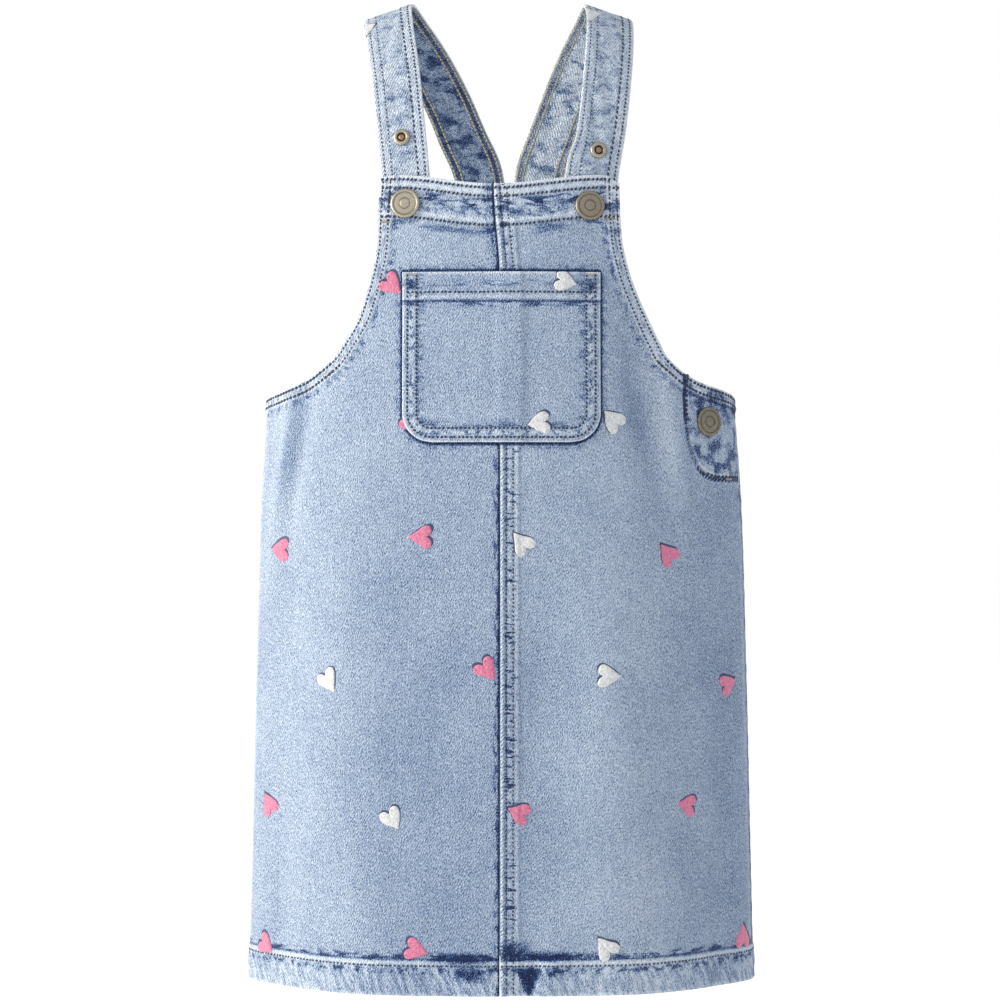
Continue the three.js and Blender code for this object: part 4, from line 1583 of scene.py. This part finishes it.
def turned_piece(name, profile, sides, foot, direction, finish, grooves=()):
    """A lathe-turned piece from radii and heights, standing at a foot along a direction."""
    bm = bmesh.new()
    groove = bm.verts.layers.float.new("groove")
    points = [bm.verts.new((radius * MM, 0, height * MM)) for radius, height in profile]
    for vertex, (radius, _) in zip(points, profile):
        vertex[groove] = max([math.exp(-(((radius - at) / 0.35) ** 2)) for at in grooves] + [0])
    edges = [bm.edges.new(pair) for pair in zip(points[:-1], points[1:])]
    bmesh.ops.spin(
        bm,
        geom=points + edges,
        axis=(0, 0, 1),
        cent=(0, 0, 0),
        steps=sides,
        angle=2 * math.pi,
        use_merge=True,
    )
    bmesh.ops.remove_doubles(bm, verts=bm.verts, dist=0.002 * MM)
    bmesh.ops.recalc_face_normals(bm, faces=bm.faces)
    turn = Vector((0, 0, 1)).rotation_difference(Vector(direction)).to_matrix().to_4x4()
    bm.transform(Matrix.Translation(Vector(foot) * MM) @ turn)
    mesh = bpy.data.meshes.new(name)
    bm.to_mesh(mesh)
    bm.free()
    mesh.polygons.foreach_set("use_smooth", [True] * len(mesh.polygons))
    return show(name, mesh, finish)


CAP_PROFILE = [
    (0, 0), (7.6, 0), (8.3, 0.15), (8.65, 0.55), (8.65, 1.15), (8.5, 1.55), (8.15, 1.85), (7.7, 1.98),
    (7.3, 2.0), (6.95, 1.9), (6.75, 1.75), (6.5, 1.72), (6.0, 1.82), (5.2, 1.92), (4.0, 1.98), (3.4, 1.96),
    (3.2, 1.86), (3.0, 1.86), (2.8, 1.98), (2.4, 2.08), (1.2, 2.16), (0, 2.18),
]
STUD_RING = [
    (2.35, 0.1), (4.4, 0), (4.8, 0.25), (4.9, 0.7), (4.7, 1.1), (4.25, 1.42), (3.6, 1.6), (3.0, 1.52),
    (2.6, 1.25), (2.4, 0.8), (2.35, 0.1),
]
STUD_DOME = [(0, 0.1), (2.2, 0.1), (2.2, 0.35), (1.9, 0.75), (1.4, 1.0), (0.8, 1.14), (0, 1.2)]
CAPS = {
    "bib_snap_left": {"x": 52.1, "z": -117},
    "bib_snap_right": {"x": -54.9, "z": -115.6},
    "side_button": {"x": 122.4, "z": -242},
}
STUDS = {"strap_stud_left": {"side": 1, "z": -84}, "strap_stud_right": {"side": -1, "z": -76}}


# Setting


def place_camera():
    data = bpy.data.cameras.new("camera")
    data.lens = CAMERA["lens"]
    data.sensor_width = CAMERA["sensor"]
    data.clip_start = 0.01
    data.clip_end = 50
    camera = bpy.data.objects.new("camera", data)
    camera.location = (0, -CAMERA["distance"] * MM, CAMERA["height"] * MM)
    camera.rotation_euler = (math.pi / 2, 0, 0)
    bpy.context.scene.collection.objects.link(camera)
    bpy.context.scene.camera = camera


def area_light(name, place, aim, size, power, colour=(1, 1, 1)):
    data = bpy.data.lights.new(name, "AREA")
    data.shape = "RECTANGLE"
    data.size, data.size_y = size
    data.energy = power
    data.color = colour
    light = bpy.data.objects.new(name, data)
    light.location = place
    light.rotation_euler = (Vector(aim) - Vector(place)).to_track_quat("-Z", "Y").to_euler()
    bpy.context.scene.collection.objects.link(light)


def light_studio():
    """A white room with one broad light from the left and a weak one from the front."""
    world = bpy.data.worlds.new("studio")
    world.use_nodes = True
    background = world.node_tree.nodes["Background"]
    background.inputs["Color"].default_value = (1, 1, 1, 1)
    background.inputs["Strength"].default_value = 1.0
    bpy.context.scene.world = world
    area_light("key", (-2.4, -0.65, 0.3), (0, 0, -0.3), (0.6, 1.2), 92, (1.0, 0.92, 0.79))
    area_light("front", (-0.4, -2.6, 0.9), (0, 0, -0.3), (1.2, 0.8), 4)
    bpy.context.scene.view_settings.view_transform = "Standard"


def lay_floor():
    """A plain pale floor under the dress, as far below it as a child of its size stands."""
    bm = bmesh.new()
    bmesh.ops.create_grid(bm, x_segments=1, y_segments=1, size=14)
    bmesh.ops.translate(bm, verts=bm.verts, vec=(0, 0, -0.78))
    mesh = bpy.data.meshes.new("floor")
    bm.to_mesh(mesh)
    bm.free()
    finish = Finish("pale floor")
    finish.shade(Base_Color=(1, 1, 1, 1), Roughness=0.9)
    floor = bpy.data.objects.new("floor", mesh)
    mesh.materials.append(finish.material)
    bpy.context.scene.collection.objects.link(floor)


# The dress


def build_dress():
    threads = {
        "indigo": thread_finish("indigo thread", (0.020, 0.026, 0.055)),
        "navy": thread_finish("navy thread", (0.013, 0.018, 0.045)),
        "tan": thread_finish("tan thread", (0.25, 0.23, 0.17)),
        "heart_pink": embroidery_finish("pink embroidery", (0.56, 0.165, 0.285), (0.26, 0.04, 0.11)),
        "heart_white": embroidery_finish("white embroidery", (0.58, 0.60, 0.62), (0.28, 0.31, 0.36)),
        "heart_edge": thread_finish("dark yarn and painted shadow", (0.025, 0.04, 0.10)),
    }
    inside = reverse_denim("inside of the denim")
    pewter = metal_finish("pewter", (0.37, 0.34, 0.28), 0.40)
    shaded_pewter = metal_finish("pewter in painted shade", (0.26, 0.235, 0.185), 0.42)
    shaded_brown_metal = metal_finish("brown metal in painted shade", (0.22, 0.20, 0.16), 0.45)
    copper = metal_finish("copper", (0.30, 0.19, 0.13), 0.38)

    # Panels and what is sewn on them
    panels = {
        "front_left": ([FRONT_LEFT], front_denim("lapped front denim", True), True),
        "front_right": ([FRONT_RIGHT], front_denim("front denim", False), False),
        "back": ([BACK_LEFT, BACK_RIGHT], back_denim("back denim"), False),
    }
    cloths = {}
    sewn = {}
    for name, (cuts, finish, lapped) in panels.items():
        piece, cloth = panel_piece(name + "_cloth", cuts, (finish, inside), lapped)
        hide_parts(name)
        cloths[name] = cloth
        sewn[name] = (piece, panel_stitches(name, cuts, cloth, threads))
    left_hearts = [row for row in HEARTS if row["px"] > 497]
    right_hearts = [row for row in HEARTS if row["px"] <= 497]
    for name, rows in (("front_left", left_hearts), ("front_right", right_hearts), ("back", BACK_HEARTS)):
        sewn[name][1].extend(hearts_on(name + "_hearts", cloths[name], dress_places(rows), threads))

    # Pocket
    grid = pocket_grid()
    values = {"edge": grid["edge"], "top": grid["top"]}
    grain = np.stack([grid["x"] + 900, grid["z"]], axis=-1)
    finish = pocket_denim_finish("pocket denim")
    pocket = show("pocket_cloth", grid_mesh("pocket_cloth", grid["points"], values, grain), finish, inside)
    thicken(pocket, POCKET["wall"], inside_finish=True)
    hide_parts("front_pocket")
    pocket_cloth = Cloth("pocket_cloth", grid["points"])
    x = np.linspace(POCKET["left"] + 2, POCKET["right"] - 2, 160)
    z = np.full(160, POCKET["top"] - POCKET_ROWS["top"][0])
    rows = [pocket_path(distance) for distance in POCKET_ROWS["edge"]]
    rows.append(surface(angle_at(x, z), z, GAP + POCKET["wall"]))
    pocket_sewn = [sew("pocket_stitches", rows, threads["navy"], pocket_cloth, 51, length=2.1, width=1.5)]
    places = dress_places(POCKET_HEARTS)
    pocket_sewn += hearts_on("pocket_hearts", pocket_cloth, places, threads)

    # Bars of tan thread at the pocket's corners, the bib band's ends and the placket's end
    bars = []
    for x, z in ((POCKET["left"] + 5.4, POCKET["top"] - 1.7), (POCKET["right"] - 5.4, POCKET["top"] - 1.7)):
        point, normal = surface(angle_at([x], [z]), np.array([z]))
        bars.append(bartack(pocket_cloth, (point[0], normal[0]), 6.2))
    for name, px, py in (("front_right", 385, 222), ("front_left", 611, 219), ("front_left", 729, 479)):
        angle, z = from_pixel(px, py)
        point, normal = surface(np.array([angle]), np.array([z]))
        bars.append(bartack(cloths[name], (point[0], normal[0]), 4.6))
    bars_piece = repeated("tan_bars", small_ball(), np.concatenate(bars), threads["tan"])

    # Straps
    strap_pieces = {}
    # The underside of strap_right is given a darker tone, 0.59, as painted shade where its back end lies in
    # the shadow of the front strap.
    for name, side, base, underside_tone_and_shade in (("strap_left", 1, 0.83, 0.90), ("strap_right", -1, 0.85, 0.59)):
        grid = strap_grid(side)
        mesh = grid_mesh(name + "_cloth", grid["points"], {"edge": grid["edge"]}, grid["grain"])
        outer_finish = strap_denim_finish(name + " denim", base, side)
        under_finish = strap_denim_finish(name + " underside", underside_tone_and_shade, side + 3, under=True)
        strap = show(name + "_cloth", mesh, outer_finish, under_finish)
        thicken(strap, STRAP_WALL, inside_finish=True, edge=0.7)
        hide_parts(name)
        # The rows along one edge of each strap are worn thin.
        outer = [strap_line(grid, STRAP_ROWS[0], 1)]
        bold = [strap_line(grid, STRAP_ROWS[1], 1)]
        faint = [strap_line(grid, distance, -1) for distance in STRAP_ROWS]
        under = []
        for distance in UNDER_ROWS:
            for end in (1, -1):
                line, normals = strap_line(grid, distance, end)
                under.append((line - normals * (STRAP_WALL + 0.02), -normals))
        others = [
            sew(f"{name}_{kind}", lines, threads[thread], None, seed, **stitch)
            for kind, lines, thread, seed, stitch in (
                ("stitches", outer, "indigo", 71, {}),
                ("bold_stitches", bold, "navy", 75, {"pitch": 3.1, "length": 2.4, "width": 1.45}),
                ("faint_stitches", faint, "indigo", 77, {"width": 0.9, "length": 1.6, "height": 0.5}),
                ("under_stitches", under, "tan", 81, {"length": 2.9, "width": 1.6, "slant": 8}),
            )
        ]
        # A white heart goes over the edge of each strap near its top.
        row = int(np.argmin(np.abs(grid["points"][:98, 4, 2] - STRAP_HEARTS[name]["z"])))
        column = STRAP_HEARTS[name]["column"]
        point, normal = grid["points"][row, column], grid["normals"][row, column]
        place = (point, normal, STRAP_HEARTS[name]["tip"], "white")
        others += hearts_on(name + "_heart", Cloth(name, grid["points"]), [place], threads)
        strap_pieces[name] = (strap, others, grid)

    # Metal
    for name, place in CAPS.items():
        cloth = cloths["front_right" if place["x"] < 0 else "front_left"]
        angle = angle_at([place["x"]], [place["z"]])
        point, normal = surface(angle, np.array([place["z"]]))
        foot, _ = cloth.settle(point, normal)
        # Painted shade: the cap on the wearer's left, away from the lamp, and the side button get darker
        # copies of the pewter; the button's is browner too.
        metal = {"bib_snap_right": pewter, "side_button": shaded_brown_metal}.get(name, shaded_pewter)
        foot = foot[0] + normal[0] * 0.25
        cap = turned_piece(name + "_cap", CAP_PROFILE, 72, foot, normal[0], metal, (3.1, 6.6))
        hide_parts(name)
    for name, place in STUDS.items():
        strap_name = "strap_left" if place["side"] > 0 else "strap_right"
        grid = strap_pieces[strap_name][2]
        middle = grid["points"].shape[1] // 2
        front = grid["points"][:110, middle]
        row = int(np.argmin(np.abs(front[:, 2] - place["z"])))
        foot, normal = grid["points"][row, middle], grid["normals"][row, middle]
        ring = turned_piece(name + "_ring", STUD_RING, 48, foot + normal * 0.1, normal, pewter, (2.5,))
        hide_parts(name)
        dome = turned_piece(name + "_dome", STUD_DOME, 32, foot + normal * 0.1, normal, copper, (2.1,))

    # What each sheet was cut to
    sizes = {
        "front_left": ((0.172, 0.475), 0.0703),
        "front_right": ((0.176, 0.475), 0.0706),
        "back": ((0.345, 0.478), 0.1428),
    }
    for name, (flat, area) in sizes.items():
        piece, others = sewn[name]


place_camera()
light_studio()
lay_floor()
build_dress()
